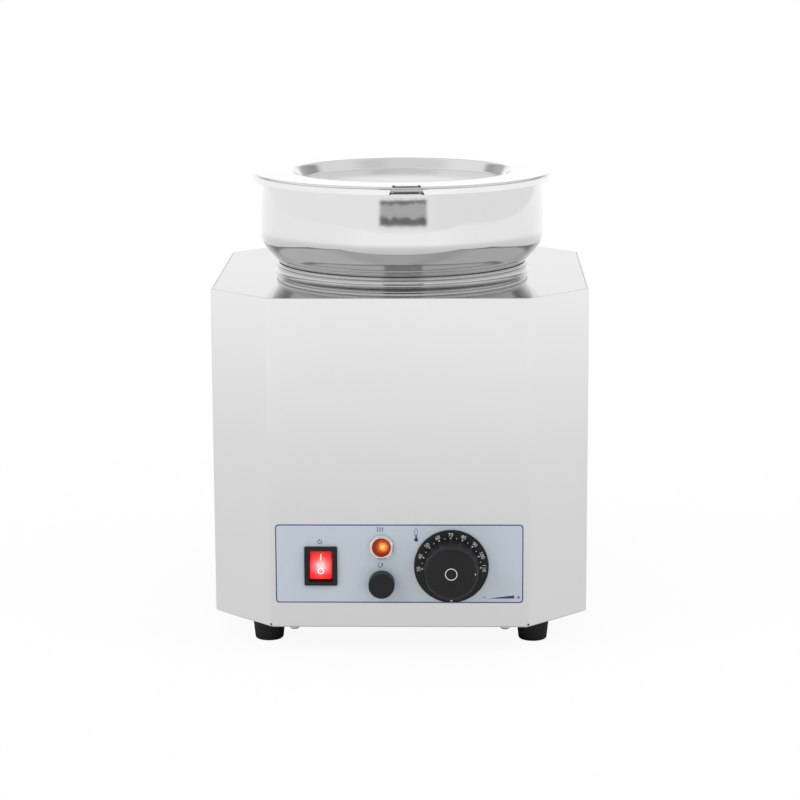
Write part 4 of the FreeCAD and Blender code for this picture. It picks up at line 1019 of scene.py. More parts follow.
def lettering(text: str, size: float, low: float, height: float) -> Surface:
    """Flat figures in the built-in typeface, centred on the origin.

    Args:
        text: The figures.
        size: Height of a figure.
        low: Height of its underside.
        height: Thickness of the print.

    Returns:
        The figures' surface.
    """
    curve = bpy.data.curves.new("figures", "FONT")
    curve.body = text
    curve.size = size / 0.70
    curve.align_x = "CENTER"
    curve.align_y = "CENTER"
    return from_curve(curve, low, height)


def circle(radius: float, centre: tuple[float, float] = (0, 0), sides: int = 48) -> Array:
    """Closed round outline."""
    return arc(centre, radius, 0, 360, sides)[:-1]


def shifted(surface: Surface, x: float, y: float, turn: float = 0.0) -> Surface:
    """Surface turned about its own origin by degrees and moved in the drawing's plane."""
    c, s = math.cos(math.radians(turn)), math.sin(math.radians(turn))
    flat = surface.points[:, :2] @ np.array([[c, s], [-s, c]]) + np.array([x, y])
    return Surface(np.column_stack([flat, surface.points[:, 2]]), surface.faces)


class Workshop:
    """Makes scene pieces of surfaces and dresses the frame's own nodes."""

    def __init__(self, frame: dict) -> None:
        """Prepares the finishes.
        """
        self.frame = frame
        self.finishes = finishes()
        self.materials: dict[str, bpy.types.Material] = {}
        self.replaced: set[str] = set()

    def material(self, name: str) -> bpy.types.Material:
        """Material of a slot or print, made once."""
        if name not in self.materials:
            self.materials[name] = self.finishes[name].make()
        return self.materials[name]

    def piece(self, name: str, surface: Surface, body: Body, slot: str,
              stands_for: tuple[str, ...] = (), ink: str | None = None, sharp: float = 32.0,
              sheet: float = 0.0, bevel: float = 0.0) -> bpy.types.Object:
        """Makes one piece.

        Args:
            name: Its name.
            surface: Its surface in millimetres, in the frame's place.
            body: Body that it rides on.
            slot: Material slot that it belongs to.
            stands_for: CAD nodes that it takes the place of.
            ink: Finish to use in place of the slot's own.
            sharp: Angle in degrees above which an edge stays sharp.
            sheet: Thickness added inwards, for a single surface.
            bevel: Width of a bevel along sharp edges.

        Returns:
            The object.
        """
        mesh = bpy.data.meshes.new(name)
        mesh.from_pydata((surface.points * MM).tolist(), [], surface.faces)
        mesh.validate()
        mesh.shade_smooth()
        mesh.set_sharp_from_angle(angle=math.radians(sharp))
        mesh.materials.append(self.material(ink or slot))
        piece = bpy.data.objects.new(name, mesh)
        bpy.context.scene.collection.objects.link(piece)
        if sheet:
            shell = piece.modifiers.new("sheet", "SOLIDIFY")
            shell.thickness = sheet * MM
            shell.offset = -1.0
            shell.use_even_offset = True
        if bevel:
            edge = piece.modifiers.new("edges", "BEVEL")
            edge.width = bevel * MM
            edge.segments = 2
            edge.limit_method = "ANGLE"
            edge.angle_limit = math.radians(40)
            edge.harden_normals = True
        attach(piece, body.value)
        if stands_for:
            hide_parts(*stands_for)
            self.replaced.update(stands_for)
        LOG.info("%s: %d points, %d faces", name, len(mesh.vertices), len(mesh.polygons))
        return piece

    def dress_nodes(self) -> None:
        """Gives each CAD node that is still shown its slot's finish."""
        slots = {row["node"]: row["material_slot"] for row in self.frame["record"]["subparts"]}
        for name, node in self.frame["nodes"].items():
            if name in self.replaced:
                continue
            key = PIN_RED if name == "reset_pin" else slots[name]
            node.data.materials.clear()
            node.data.materials.append(self.material(key))


# Sub-assemblies

@dataclass
class Sizes:
    """Sizes in millimetres that more than one sub-assembly uses."""

    width: float = 290.0
    corner_leg: float = 46.0
    body_low: float = 20.5
    deck_z: float = 275.5
    wall_t: float = 1.2
    rear_t: float = 1.0
    front_y: float = -145.0
    back_y: float = 145.0
    label_t: float = 0.25
    neck_r: float = 98.1
    neck_height: float = 5.4
    well_out_r: float = 98.0
    bead_r: float = 1.6

    @property
    def bead_centre(self) -> tuple[float, float]:
        """Radius and height of the middle of the well's rolled rim."""
        return self.well_out_r + self.bead_r - 0.5, self.deck_z + self.neck_height + self.bead_r


@dataclass
class Octagon:
    """Outline of the body seen from above, with as many points for any inset."""

    sizes: Sizes
    front_steps: tuple[float, ...] = ()
    back_steps: tuple[float, ...] = ()
    run_points: int = 24
    short_points: int = 8
    bend_chords: int = 6
    back_step: float = 1.0

    def corners(self, inset: float) -> Array:
        """Corners counter-clockwise from the front left, the back stepped in for the rear panel."""
        bevel = inset * (math.sqrt(2) - 1)
        side = self.sizes.width / 2 - inset
        flat = self.sizes.width / 2 - self.sizes.corner_leg - bevel
        back_x, back_y = flat + self.back_step, side - self.back_step
        return np.array([(-flat, -side), (flat, -side), (side, -flat), (side, flat), (back_x, back_y),
                         (-back_x, back_y), (-side, flat), (-side, -flat)])

    def shares(self, run: int) -> Array:
        """Shares along a run at which it has points: even ones and the stated places."""
        reach = self.sizes.width / 2 - self.sizes.corner_leg
        count = self.run_points if run % 2 == 0 else self.short_points
        even_shares = np.linspace(0, 1, count + 1)[1:-1]
        if run == 0 and self.front_steps:
            stated = (np.array(self.front_steps) + reach) / (2 * reach)
        elif run == 4 and self.back_steps:
            wide = reach + self.back_step
            stated = (wide - np.array(self.back_steps)) / (2 * wide)
        else:
            return even_shares
        clear = [s for s in even_shares if np.abs(stated - s).min() > 0.4 / count]
        return np.sort(np.concatenate([stated, clear]))

    def outline(self, inset: float, bend: float) -> Array:
        """Closed outline at an inset with bends of a radius.

        Args:
            inset: How far in from the flats.
            bend: Radius of the bends.

        Returns:
            Points, one row each: for each corner its bend, then the run to the next.
        """
        corners = self.corners(inset)
        parts = []
        for k in range(8):
            corner, after, before = corners[k], corners[(k + 1) % 8], corners[k - 1]
            start, end = self.bend_ends(before, corner, after, bend)
            inward = (before - corner) / np.linalg.norm(before - corner)
            inward = inward + (after - corner) / np.linalg.norm(after - corner)
            inward /= np.linalg.norm(inward)
            middle = corner + inward * bend / math.cos(math.pi / 8)
            first = math.degrees(math.atan2(*(start - middle)[::-1]))
            parts.append(arc(tuple(middle), bend, first, first + 45, self.bend_chords))
            beyond = corners[(k + 2) % 8]
            run_end, _ = self.bend_ends(corner, after, beyond, bend)
            shares = self.shares(k)[:, None]
            parts.append(end + (run_end - end) * shares)
        return np.vstack(parts)

    @staticmethod
    def bend_ends(before: Array, corner: Array, after: Array, bend: float) -> tuple[Array, Array]:
        """Points where the bend at a corner starts and ends."""
        reach = bend * math.tan(math.pi / 8)
        back = (before - corner) / np.linalg.norm(before - corner)
        ahead = (after - corner) / np.linalg.norm(after - corner)
        return corner + back * reach, corner + ahead * reach

    def bend_columns(self) -> Array:
        """Mask over the outline's columns of cells, true at the bends."""
        mask = []
        for k in range(8):
            mask += [True] * self.bend_chords + [False] * (len(self.shares(k)) + 1)
        return np.array(mask)


@dataclass
class Housing:
    """Body wall, rear panel with its louvres, screws and feet."""

    shop: Workshop
    sizes: Sizes
    bend_r: float = 2.6
    fold_r: float = 1.5
    flange: float = 14.0
    slit_r: float = 1.05
    notch_height: float = 2.7
    shrink: float = 0.02
    window_margin: float = 18.0
    louvre_half: float = 22.0
    louvre_r: float = 5.0
    louvre_end: float = 8.0
    louvre_pitch: float = 17.0
    louvre_rows: int = 4
    louvre_x: float = 40.0
    louvre_low: float = 118.0
    rear_margin: float = 1.2
    screw_x: float = 93.0
    panel_screw_rise: tuple[float, float] = (14.0, 234.0)
    plate_screw: tuple[float, float] = (81.0, 137.0)
    foot_height: float = 19.5
    foot_offset: float = 103.0
    foot_line: tuple[tuple[float, float], ...] = (
        (2.0, 11.5), (4.6, 11.5), (4.6, 0.0), (10.9, 0.0), (13.0, 19.5), (2.0, 19.5))
    # x from and to, height from and to: switch, lamp, reset, thermostat
    openings: tuple[tuple[float, float, float, float], ...] = (
        (-71.0, -48.8, 54.9, 83.1), (-19.7, -7.3, 77.8, 90.2),
        (-18.7, -8.3, 50.3, 60.7), (34.6, 44.8, 63.9, 74.1))
    gland_opening: tuple[float, float, float, float] = (-66.9, -53.1, 43.6, 57.4)

    def build(self) -> None:
        """Builds the pieces."""
        self.wall()
        self.rear_panel()
        self.screws()
        self.feet()

    def wall(self) -> None:
        """Bent sheet: flange, tight fold and wall as one grid round the octagon, notched where two
        flanges meet at a bend and open for the controls and the rear window."""
        size = self.sizes
        window_x = size.width / 2 - size.corner_leg + 1 - self.flange
        front = tuple(sorted({x for o in self.openings for x in o[:2]}))
        octagon = Octagon(size, front, (-window_x, window_x), back_step=size.rear_t)
        window = (size.body_low + self.flange, size.deck_z - self.window_margin)
        fold = arc((self.fold_r, size.body_low + self.fold_r), self.fold_r, 270, 180, 5)
        low = [(inset, size.body_low) for inset in (self.flange, 9.0, 4.5, self.fold_r + 0.3)]
        levels = np.linspace(size.body_low + self.notch_height + 12, size.deck_z, 16)
        stated = [z for o in self.openings for z in o[2:]]
        stated += [*window, size.body_low + self.notch_height]
        spaced = [z for z in levels[:-1] if min(abs(z - s) for s in stated) > 3]
        rows = low + [tuple(p) for p in fold] + [(0.0, z) for z in sorted(set(stated + spaced))]
        rows.append((0.0, size.deck_z))
        outlines = [octagon.outline(inset + self.shrink, max(self.bend_r - inset, self.slit_r))
                    for inset, _ in rows]
        grid = stack(outlines, [z for _, z in rows])
        heights = np.array([z for _, z in rows])
        keep = np.ones((len(rows) - 1, grid.shape[1]), bool)
        below = heights[1:] <= size.body_low + self.notch_height + 1e-6
        keep &= ~(below[:, None] & octagon.bend_columns()[None, :])
        x = grid[-1, :, 0]
        y = grid[-1, :, 1]
        middle_x = (x + np.roll(x, -1)) / 2
        middle_z = ((heights + np.roll(heights, -1)) / 2)[:-1]
        at_back = (y > size.back_y - 1.5) & (np.roll(y, -1) > size.back_y - 1.5)
        face_y = size.front_y + self.shrink + 0.01
        at_front = (y < face_y) & (np.roll(y, -1) < face_y)
        inside = at_back & (np.abs(middle_x) < window_x)
        keep &= ~(((middle_z > window[0]) & (middle_z < window[1]))[:, None] & inside[None, :])
        for x_low, x_high, z_low, z_high in self.openings:
            across = at_front & (middle_x > x_low) & (middle_x < x_high)
            keep &= ~(((middle_z > z_low) & (middle_z < z_high))[:, None] & across[None, :])
        surface = Surface.from_grid(grid, keep=keep)
        self.shop.piece("wall_sheet", surface, Body.HOUSING, "shell_steel", ("body_wall",),
                        sheet=size.wall_t, bevel=0.18)

    def rear_panel(self) -> None:
        """Flat cover whose louvres are quarter rounds pressed out of it.

        Above a louvre's lower edge its face stands out by sqrt(r * r - z * z), where z is the
        height over that edge and r falls to nothing past both ends as the cosine of the way
        along. The row at the lower edge is there twice, on the panel and on the hood.
        """
        size = self.sizes
        half = size.width / 2 - size.corner_leg - self.rear_margin
        reach = self.louvre_half + self.louvre_end
        along = np.concatenate([np.linspace(-reach, -self.louvre_half, 9),
                                np.linspace(-self.louvre_half, self.louvre_half, 5)[1:-1],
                                np.linspace(self.louvre_half, reach, 9)])
        gland = self.gland_opening
        columns = np.unique(np.round(np.concatenate([along - self.louvre_x, along + self.louvre_x,
                                                     [-half, half], gland[:2], [0.0]]), 4))
        quarter = self.louvre_r * np.sin(np.radians(np.linspace(0, 90, 10)))
        rows: list[tuple[float, float, bool]] = [(size.body_low + self.rear_margin, -1.0, False)]
        rows += [(z, -1.0, False) for z in gland[2:]]
        for k in range(self.louvre_rows):
            base = size.body_low + self.louvre_low + k * self.louvre_pitch
            rows.append((base, -1.0, False))
            rows += [(base + rise, rise, True) for rise in quarter]
        rows.append((size.deck_z - self.rear_margin, -1.0, False))
        away = np.minimum(np.abs(columns - self.louvre_x), np.abs(columns + self.louvre_x))
        past = np.clip((away - self.louvre_half) / self.louvre_end, 0, 1)
        radius = self.louvre_r * np.cos(past * math.pi / 2)
        radius[past >= 1] = 0
        grid = np.zeros((len(rows), len(columns), 3))
        for k, (z, rise, hood) in enumerate(rows):
            grid[k, :, 0] = columns
            grid[k, :, 2] = z
            depth = np.sqrt(np.maximum(radius ** 2 - rise ** 2, 0)) if hood else 0.0
            grid[k, :, 1] = size.back_y + depth
        heights = np.array([z for z, _, _ in rows])
        keep = np.ones((len(rows) - 1, len(columns) - 1), bool)
        middle = (columns[1:] + columns[:-1]) / 2
        keep[np.diff(heights) < 1e-9] = False
        hole = (heights[:-1] > gland[2] - 0.5) & (heights[1:] < gland[3] + 0.5)
        keep &= ~(hole[:, None] & ((middle > gland[0]) & (middle < gland[1]))[None, :])
        surface = Surface.from_grid(grid, wrap_columns=False, keep=keep)
        surface = facing_out(surface, np.array([0.0, 1.0, 0.0]))
        self.shop.piece("louvred_panel", surface, Body.HOUSING, "shell_steel", ("rear_panel",),
                        sheet=size.rear_t, bevel=0.15)

    def screws(self) -> None:
        """Pan-head screws of the rear panel and the bottom plate."""
        size = self.sizes
        heads = [pan_head(8.0).moved(Facing.BACK, (x, size.back_y, size.body_low + rise))
                 for x in (-self.screw_x, self.screw_x) for rise in self.panel_screw_rise]
        self.shop.piece("panel_screws", joined(heads), Body.HOUSING, "fastener_steel",
                        ("rear_panel_screws",))
        heads = [pan_head(6.0).moved(Facing.UNDER, (sx * self.plate_screw[0], sy * self.plate_screw[1],
                                                    self.foot_height))
                 for sx in (-1, 1) for sy in (-1, 1)]
        self.shop.piece("plate_screws", joined(heads), Body.HOUSING, "fastener_steel",
                        ("bottom_screws",))

    def feet(self) -> None:
        """Tapered rubber feet with a rounded lower edge and a screw counterbore."""
        line = rounded_line(list(self.foot_line), [0.0, 0.5, 1.8, 0.7], 6)
        for end, sy in (("front", -1), ("rear", 1)):
            for side, sx in (("left", -1), ("right", 1)):
                foot = Surface.turned(line, 64, closed=True)
                place = (sx * self.foot_offset, sy * self.foot_offset, 0.0)
                self.shop.piece(f"rubber_foot_{end}_{side}", foot.moved(Facing.TOP, place),
                                Body.HOUSING, "foot_rubber", (f"foot_{end}_{side}",))


def facing_out(surface: Surface, outside: Array) -> Surface:
    """The same open surface with most of its area facing a direction."""
    corners = np.array([face[:3] for face in surface.faces])
    a, b, c = (surface.points[corners[:, k]] for k in range(3))
    if (np.cross(b - a, c - a) @ outside).sum() < 0:
        surface.faces = [face[::-1] for face in surface.faces]
    return surface


def pan_head(length: float, radius: float = 3.9, height: float = 2.2, shank: float = 2.0) -> Surface:
    """Pan-head screw with a cross recess, its head standing on z = 0.

    The recess lowers the head by up to 1.1 mm where either arm of a cross, 0.9 mm wide and 4 mm
    long, passes; its sides slope over 0.25 mm.

    Args:
        length: Length of the shank.
        radius: Radius of the head.
        height: Height of the head.
        shank: Radius of the thread.

    Returns:
        The screw's surface.
    """
    flat = np.column_stack([np.linspace(0, radius * 0.6, 14), np.full(14, height)])
    side = rounded_line([(radius * 0.65, height), (radius, height * 0.5), (radius, 0.0), (shank, 0.0),
                         (shank, -length + 0.6), (shank - 0.5, -length), (0.0, -length)],
                        [0.7, 0.1, 0.0, 0.0, 0.0], 8)
    grid = revolve(np.vstack([flat, side]), 64)
    x, y, z = grid[..., 0], grid[..., 1], grid[..., 2]

    def within(values: Array, reach: float) -> Array:
        return np.clip((reach - np.abs(values)) / 0.25 + 0.5, 0, 1)

    arm_x = within(y, 0.45) * within(x, 2.0)
    arm_y = within(x, 0.45) * within(y, 2.0)
    grid[..., 2] = z - 1.1 * np.maximum(arm_x, arm_y) * (z > height * 0.9)
    return Surface.from_grid(grid, wrap_rows=True, wrap_columns=False)


@dataclass
class Vessels:
    """Deck, well, pot and lid."""

    shop: Workshop
    sizes: Sizes
    deck_inset: float = 1.3
    deck_t: float = 1.2
    deck_bend: float = 0.6
    skirt: float = 14.0
    neck_fillet: float = 4.0
    well_depth: float = 150.0
    pot_low_r: float = 94.5
    belly_r: float = 113.3
    pot_floor_gap: float = 7.0
    slope: float = 48.0
    shoulder_r: float = 25.0
    side_r: float = 290.0
    rim_height: float = 79.2
    seat_gap: float = 0.3
    lid_r: float = 119.5
    lip: float = 6.0
    dish_r: float = 62.0
    dish_depth: float = 11.4
    dish_rise: float = 2.4
    dish_wall: float = 8.6
    dish_run: float = 4.6
    dish_open_r: float = 87.4
    notch_half: float = 10.75
    notch_depth: float = 13.0
    notch_flare: float = 2.8
    notch_turn: float = 3.0
    turns: int = 256

    def build(self) -> None:
        """Builds the pieces."""
        self.deck()
        self.well()
        self.pot()
        self.lid()

    def deck(self) -> None:
        """Pan with its skirt down inside the wall; its top runs from the octagon to the round neck."""
        size = self.sizes
        octagon = Octagon(size, back_step=0.0, run_points=30, short_points=12)
        top = size.deck_z
        fold = arc((self.deck_inset + self.deck_bend, top - self.deck_bend), self.deck_bend, 180, 90, 6)
        rows = [(self.deck_inset, top - self.skirt), (self.deck_inset, top - 6.0)]
        rows += [tuple(p) for p in fold]
        rows += [(self.deck_inset + self.deck_bend + 0.4, top), (self.deck_inset + 8.0, top)]
        outlines = [octagon.outline(i, max(self.deck_bend + self.deck_inset - i, 0.4)) for i, _ in rows]
        heights = [z for _, z in rows]
        outer = size.neck_r + self.deck_t
        neck = rounded_line([(outer + 14, top), (outer, top), (outer, top + size.neck_height)],
                            [self.neck_fillet], 10)
        way = outlines[-1] / np.linalg.norm(outlines[-1], axis=1, keepdims=True)
        for radius, height in neck:
            outlines.append(way * radius)
            heights.append(height)
        self.shop.piece("deck_pan", Surface.from_grid(stack(outlines, heights)), Body.HOUSING,
                        "polished_steel", ("deck",), sheet=self.deck_t, bevel=0.15)

    def well(self) -> None:
        """Drawn tank whose rim is rolled outwards over the neck; the rim's steel is a darker copy of
        the spun steel, painted shade under the pot's belly.
        """
        size = self.sizes
        low = size.deck_z - self.well_depth - 1.0
        centre_r, centre_z = size.bead_centre
        outer = rounded_line([(0.0, low), (size.well_out_r, low), (size.well_out_r, centre_z - 1.3)],
                             [11.0], 12)
        bead = arc((centre_r, centre_z), size.bead_r, -132, 90, 20)
        lean = np.radians(np.linspace(0, 90, 7)[1:])
        roll = np.column_stack([centre_r - 1.8 * np.sin(lean), centre_z + size.bead_r * np.cos(lean)])
        inner = rounded_line([(size.well_out_r - 1, centre_z - 1.2), (size.well_out_r - 1, low + 1),
                              (0.0, low + 1)], [10.0], 12)
        line = np.vstack([outer, bead, roll, inner])
        # the rim's darker steel is painted shade under the pot's belly
        self.shop.piece("well_tank", Surface.turned(line, self.turns), Body.HOUSING, "polished_steel",
                        ("well",), ink=SHADED_RIM)

    def pot_line(self) -> tuple[Array, tuple[float, float]]:
        """Outer line of the pot and the middle of its rolled rim."""
        size = self.sizes
        slope = math.radians(self.slope)
        centre_r, centre_z = size.bead_centre
        clear = size.bead_r + self.seat_gap
        seat = (centre_r - clear * math.sin(slope), centre_z + clear * math.cos(slope))

        def cone_z(radius: float) -> float:
            return seat[1] + (radius - seat[0]) * math.tan(slope)

        floor = size.deck_z - self.well_depth + self.pot_floor_gap
        belly_z = cone_z(self.belly_r) + self.shoulder_r * math.tan((math.pi / 2 - slope) / 2) + 0.5
        line = rounded_line([(0.0, floor), (self.pot_low_r, floor),
                             (self.pot_low_r, cone_z(self.pot_low_r)),
                             (self.belly_r, cone_z(self.belly_r)), (self.belly_r, belly_z)],
                            [5.0, 8.0, self.shoulder_r], 22)
        rim_z = size.deck_z + self.rim_height - size.bead_r
        rise = np.linspace(0, rim_z - belly_z, 22)[1:]
        lean = self.side_r - np.sqrt(self.side_r ** 2 - rise ** 2)
        side = np.column_stack([self.belly_r - lean, belly_z + rise])
        return np.vstack([line, side]), (float(side[-1, 0]) + 0.6, rim_z)

    def pot(self) -> None:
        """Spun pot: outer line, rolled rim, and the same line back inside."""
        line, centre = self.pot_line()
        inner = offset_line(line, 1.0)[::-1]
        outer = line[line[:, 1] < centre[1] - 1.7]
        bead = arc(centre, self.sizes.bead_r, -110, 180, 24)
        inner = inner[(inner[:, 1] < centre[1] - 0.3)]
        surface = Surface.turned(np.vstack([outer, bead, inner]), self.turns)
        self.shop.piece("spun_pot", surface, Body.POT, "pot_steel", ("pot",))

    def lid(self) -> None:
        """Pressed lid: dished middle that rises as the square of the radius to a crease, flat ring,
        turned-down lip, and the ladle notch cut out."""
        top = self.sizes.deck_z + self.rim_height + self.seat_gap + 1.0
        low = top - self.dish_depth
        reach = np.linspace(0, self.dish_r, 16)
        middle = np.column_stack([reach, low + self.dish_rise * (reach / self.dish_r) ** 2])
        edge = rounded_line([(self.dish_r, low + self.dish_rise),
                             (self.dish_open_r - self.dish_run, top - self.dish_wall),
                             (self.dish_open_r, top), (self.lid_r, top),
                             (self.lid_r, top - self.lip)], [2.0, 2.4, 2.2], 14)
        line = np.vstack([middle, edge[1:]])
        section = thick_line(line, -1.0)
        body = Surface.turned(section, self.turns)
        half, wide = self.notch_half, self.notch_half + self.notch_flare
        inner_y = -self.lid_r + self.notch_depth
        slot = rounded_line([(-half, -130.0), (-half, inner_y), (half, inner_y), (half, -130.0)],
                            [4.0, 4.0], 8, 0.0)
        flare = np.array([(-half, 0.2), (half, 0.2), (wide, -self.lip), (wide, -40.0),
                          (-wide, -40.0), (-wide, -self.lip)])
        cutters = [shifted(cutter, 0, 0, self.notch_turn)
                   for cutter in (prism(slot, top - 40, top + 5),
                                  standing(flare, -125.5, -self.lid_r + 2.2, top))]
        self.shop.piece("pressed_lid", solid_of(body, cutters), Body.LID, "pot_steel", ("lid",),
                        sharp=40, ink=PRESSED)


def prism(outline: Array, low: float, high: float) -> Surface:
    """Upright prism over a closed outline."""
    count = len(outline)
    points = np.vstack([np.column_stack([outline, np.full(count, low)]),
                        np.column_stack([outline, np.full(count, high)])])
    sides = [[k, (k + 1) % count, (k + 1) % count + count, k + count] for k in range(count)]
    ends = [list(range(count))[::-1], list(range(count, 2 * count))]
    return Surface(points, capped(points, sides, ends))


def capped(points: Array, sides: list[list[int]], ends: list[list[int]]) -> list[list[int]]:
    """Sides and ends of a prism, turned outwards as a whole."""
    middle = points.mean(0)
    a, b, c = (points[sides[0][k]] for k in range(3))
    outside = np.cross(b - a, c - a) @ ((a + b + c) / 3 - middle) > 0
    faces = sides + ends
    return faces if outside else [face[::-1] for face in faces]


def standing(outline: Array, y_low: float, y_high: float, z: float) -> Surface:
    """Prism that runs along Y, over an outline of (x, height over z)."""
    flat = prism(outline, y_low, y_high)
    points = np.column_stack([flat.points[:, 0], flat.points[:, 2], flat.points[:, 1] + z])
    return Surface(points, [face[::-1] for face in flat.faces])


@dataclass
class Controls:
    """Label, switch, lamp and reset cap on the front."""

    shop: Workshop
    sizes: Sizes
    label_half: float = 95.0
    label_low: float = 39.5
    label_high: float = 102.0
    switch: tuple[float, float] = (-59.9, 69.0)
    lamp: tuple[float, float] = (-13.5, 84.0)
    reset: tuple[float, float] = (-13.5, 55.5)
    dial: tuple[float, float] = (39.7, 69.0)
    print_t: float = 0.03
    stroke: float = 0.55
    pivot: float = -4.75
    tilt: float = 9.0

    def build(self) -> None:
        """Builds the pieces."""
        self.label()
        self.label_print()
        self.switch_housing()
        self.rocker()
        self.pilot_lamp()
        self.cap()

    def front(self, surface: Surface, place: tuple[float, float]) -> Surface:
        """Surface drawn about a control's middle, put on the front at (x, height)."""
        return surface.moved(Facing.FRONT, (place[0], self.sizes.front_y, place[1]))

    def label(self) -> None:
        """Foil with round corners, pierced for the controls."""
        middle = (self.label_high + self.label_low) / 2
        outline = rounded_rectangle(self.label_half, (self.label_high - self.label_low) / 2, 3.0, 8)
        holes = [circle(7.0, (self.lamp[0], self.lamp[1] - middle)),
                 circle(5.2, (self.reset[0], self.reset[1] - middle)),
                 circle(4.7, (self.dial[0], self.dial[1] - middle)),
                 rounded_rectangle(11.1, 14.1, 0.3, 2)
                 + np.array([self.switch[0], self.switch[1] - middle])]
        foil = plate([outline, *holes], 0.0, self.sizes.label_t)
        self.shop.piece("printed_foil", self.front(foil, (0.0, middle)), Body.HOUSING, "label_foil",
                        ("control_label",))

    def label_print(self) -> None:
        """Border and signs printed on the foil: a switch sign, heat waves, a return arrow, a
        thermometer and a less-to-more wedge. A pale band just inside the navy border is a painted
        highlight."""
        low, rise = self.sizes.label_t, self.print_t
        middle = (self.label_high + self.label_low) / 2
        half_y = (self.label_high - self.label_low) / 2
        rims = [rounded_rectangle(self.label_half - inset, half_y - inset, 3.0 - inset * 0.6, 10)
                for inset in (0.5, 1.35, 1.75)]
        # the second, pale band is a painted highlight just inside the navy border
        for name, pair, share, ink in (("border_print", rims[:2], 1.0, NAVY),
                                       ("painted_border_glint", rims[1:], 0.6, GLINT_PAINT)):
            band = self.front(plate(pair, low, rise * share), (0.0, middle))
            self.shop.piece(name, band, Body.HOUSING, "label_foil", ink=ink)
        signs = [(self.switch_sign(), (-60.6, 88.2)), (self.heat_sign(), (-14.6, 97.7)),
                 (self.return_sign(), (-14.6, 69.6)), (self.thermometer(), (12.9, 93.2)),
                 (self.wedge_sign(), (78.0, 44.4))]
        for k, (sign, place) in enumerate(signs):
            sign.points[:, 2] = sign.points[:, 2] * rise + low
            self.shop.piece(f"sign_print_{k + 1}", self.front(sign, place), Body.HOUSING,
                            "label_foil", ink=NAVY)

    def switch_sign(self) -> Surface:
        """Open ring with an upright bar in its gap."""
        ring = ribbon(arc((0, -0.2), 1.5, 125, 415, 28), self.stroke, 1.0)
        return ring + ribbon(np.array([(0, 0.1), (0, 2.0)]), self.stroke, 1.0)

    def heat_sign(self) -> Surface:
        """Three rising waves: x = 0.4 sin(2 pi y / 2.6)."""
        y = np.linspace(-1.7, 1.7, 25)
        waves = [np.column_stack([x + 0.4 * np.sin(TURN * y / 2.6), y]) for x in (-1.9, 0.0, 1.9)]
        return joined([ribbon(wave, self.stroke, 1.0) for wave in waves])

    def return_sign(self) -> Surface:
        """Three quarters of a ring that ends in an arrow head."""
        ring = ribbon(arc((0, 0), 1.55, 100, 390, 28), self.stroke, 1.0)
        tip = np.array([(0.55, 0.45), (2.4, 0.55), (1.75, 1.9)])
        return ring + plate([tip], 0.0, 1.0)

    def thermometer(self) -> Surface:
        """Bulb and filled tube, with three marks beside the empty part."""
        parts = [plate([circle(1.55, (0, -3.6), 28)], 0.0, 1.0),
                 ribbon(np.array([(0, -3.0), (0, 0.4)]), 1.2, 1.0)]
        tube = np.vstack([[(-0.95, 0.4)], arc((0, 4.2), 0.95, 180, 0, 12), [(0.95, 0.4)]])
        parts.append(ribbon(tube, 0.32, 1.0))
        parts += [ribbon(np.array([(-1.9, y), (-0.95, y)]), 0.3, 1.0) for y in (-0.3, 1.2, 2.7)]
        return joined(parts)

    def wedge_sign(self) -> Surface:
        """Minus, a wedge that grows, and plus."""
        minus = ribbon(np.array([(-14.2, 0.0), (-12.0, 0.0)]), self.stroke, 1.0)
        wedge = plate([np.array([(-10.2, -1.0), (9.6, -1.0), (9.6, 1.5)])], 0.0, 1.0)
        plus = ribbon(np.array([(11.6, 0.0), (14.2, 0.0)]), self.stroke, 1.0)
        plus = plus + ribbon(np.array([(12.9, -1.3), (12.9, 1.3)]), self.stroke, 1.0)
        return joined([minus, wedge, plus])

    def switch_housing(self) -> None:
        """Body, bezel and mouth of the switch as one run of outlines from the closed back, round
        the bezel's front and down to the mouth's floor."""
        front = self.sizes.label_t + 2.0
        floor = self.pivot - 5.0
        levels = [(0.02, 0.02, 0.01, -24.0), (10.5, 13.5, 0.6, -24.0), (10.9, 13.9, 0.8, -23.6),
                  (10.9, 13.9, 0.8, 0.25), (12.3, 15.0, 0.9, 0.25), (12.6, 15.3, 1.1, 0.45)]
        for turn in np.radians(np.linspace(0, 90, 6)):
            edge = 0.7 * (1 - math.cos(turn))
            levels.append((12.6 - edge, 15.3 - edge, 1.1, front - 0.7 + 0.7 * math.sin(turn)))
        levels += [(9.15, 12.5, 0.9, front), (8.85, 12.2, 0.8, front - 0.1),
                   (8.68, 12.03, 0.8, front - 0.4), (8.65, 12.0, 0.8, front - 1.0),
                   (8.65, 12.0, 0.8, floor), (0.02, 0.02, 0.01, floor)]
        outlines = [rounded_rectangle(x, y, r, 6) for x, y, r, _ in levels]
        grid = stack(outlines, [z for *_, z in levels])
        housing = Surface.from_grid(grid)
        self.shop.piece("switch_body", self.front(housing, self.switch), Body.HOUSING, "control_black",
                        ("switch_housing",))

    def rocker_height(self, y: Array) -> Array:
        """Height of the rocker's hollowed face over its pivot: an arc through both edges at 6.5
        and the middle at 4.9."""
        half, hollow = 10.7, 1.6
        radius = (half ** 2 + hollow ** 2) / (2 * hollow)
        return 6.5 - hollow + radius - np.sqrt(radius ** 2 - np.minimum(np.abs(y), half) ** 2)

    def tilted(self, surface: Surface) -> Surface:
        """Surface turned about the rocker's pivot to the pressed position."""
        c, s = math.cos(math.radians(self.tilt)), math.sin(math.radians(self.tilt))
        x, y, z = surface.points.T
        return Surface(np.column_stack([x, y * c + z * s, -y * s + z * c + self.pivot]), surface.faces)

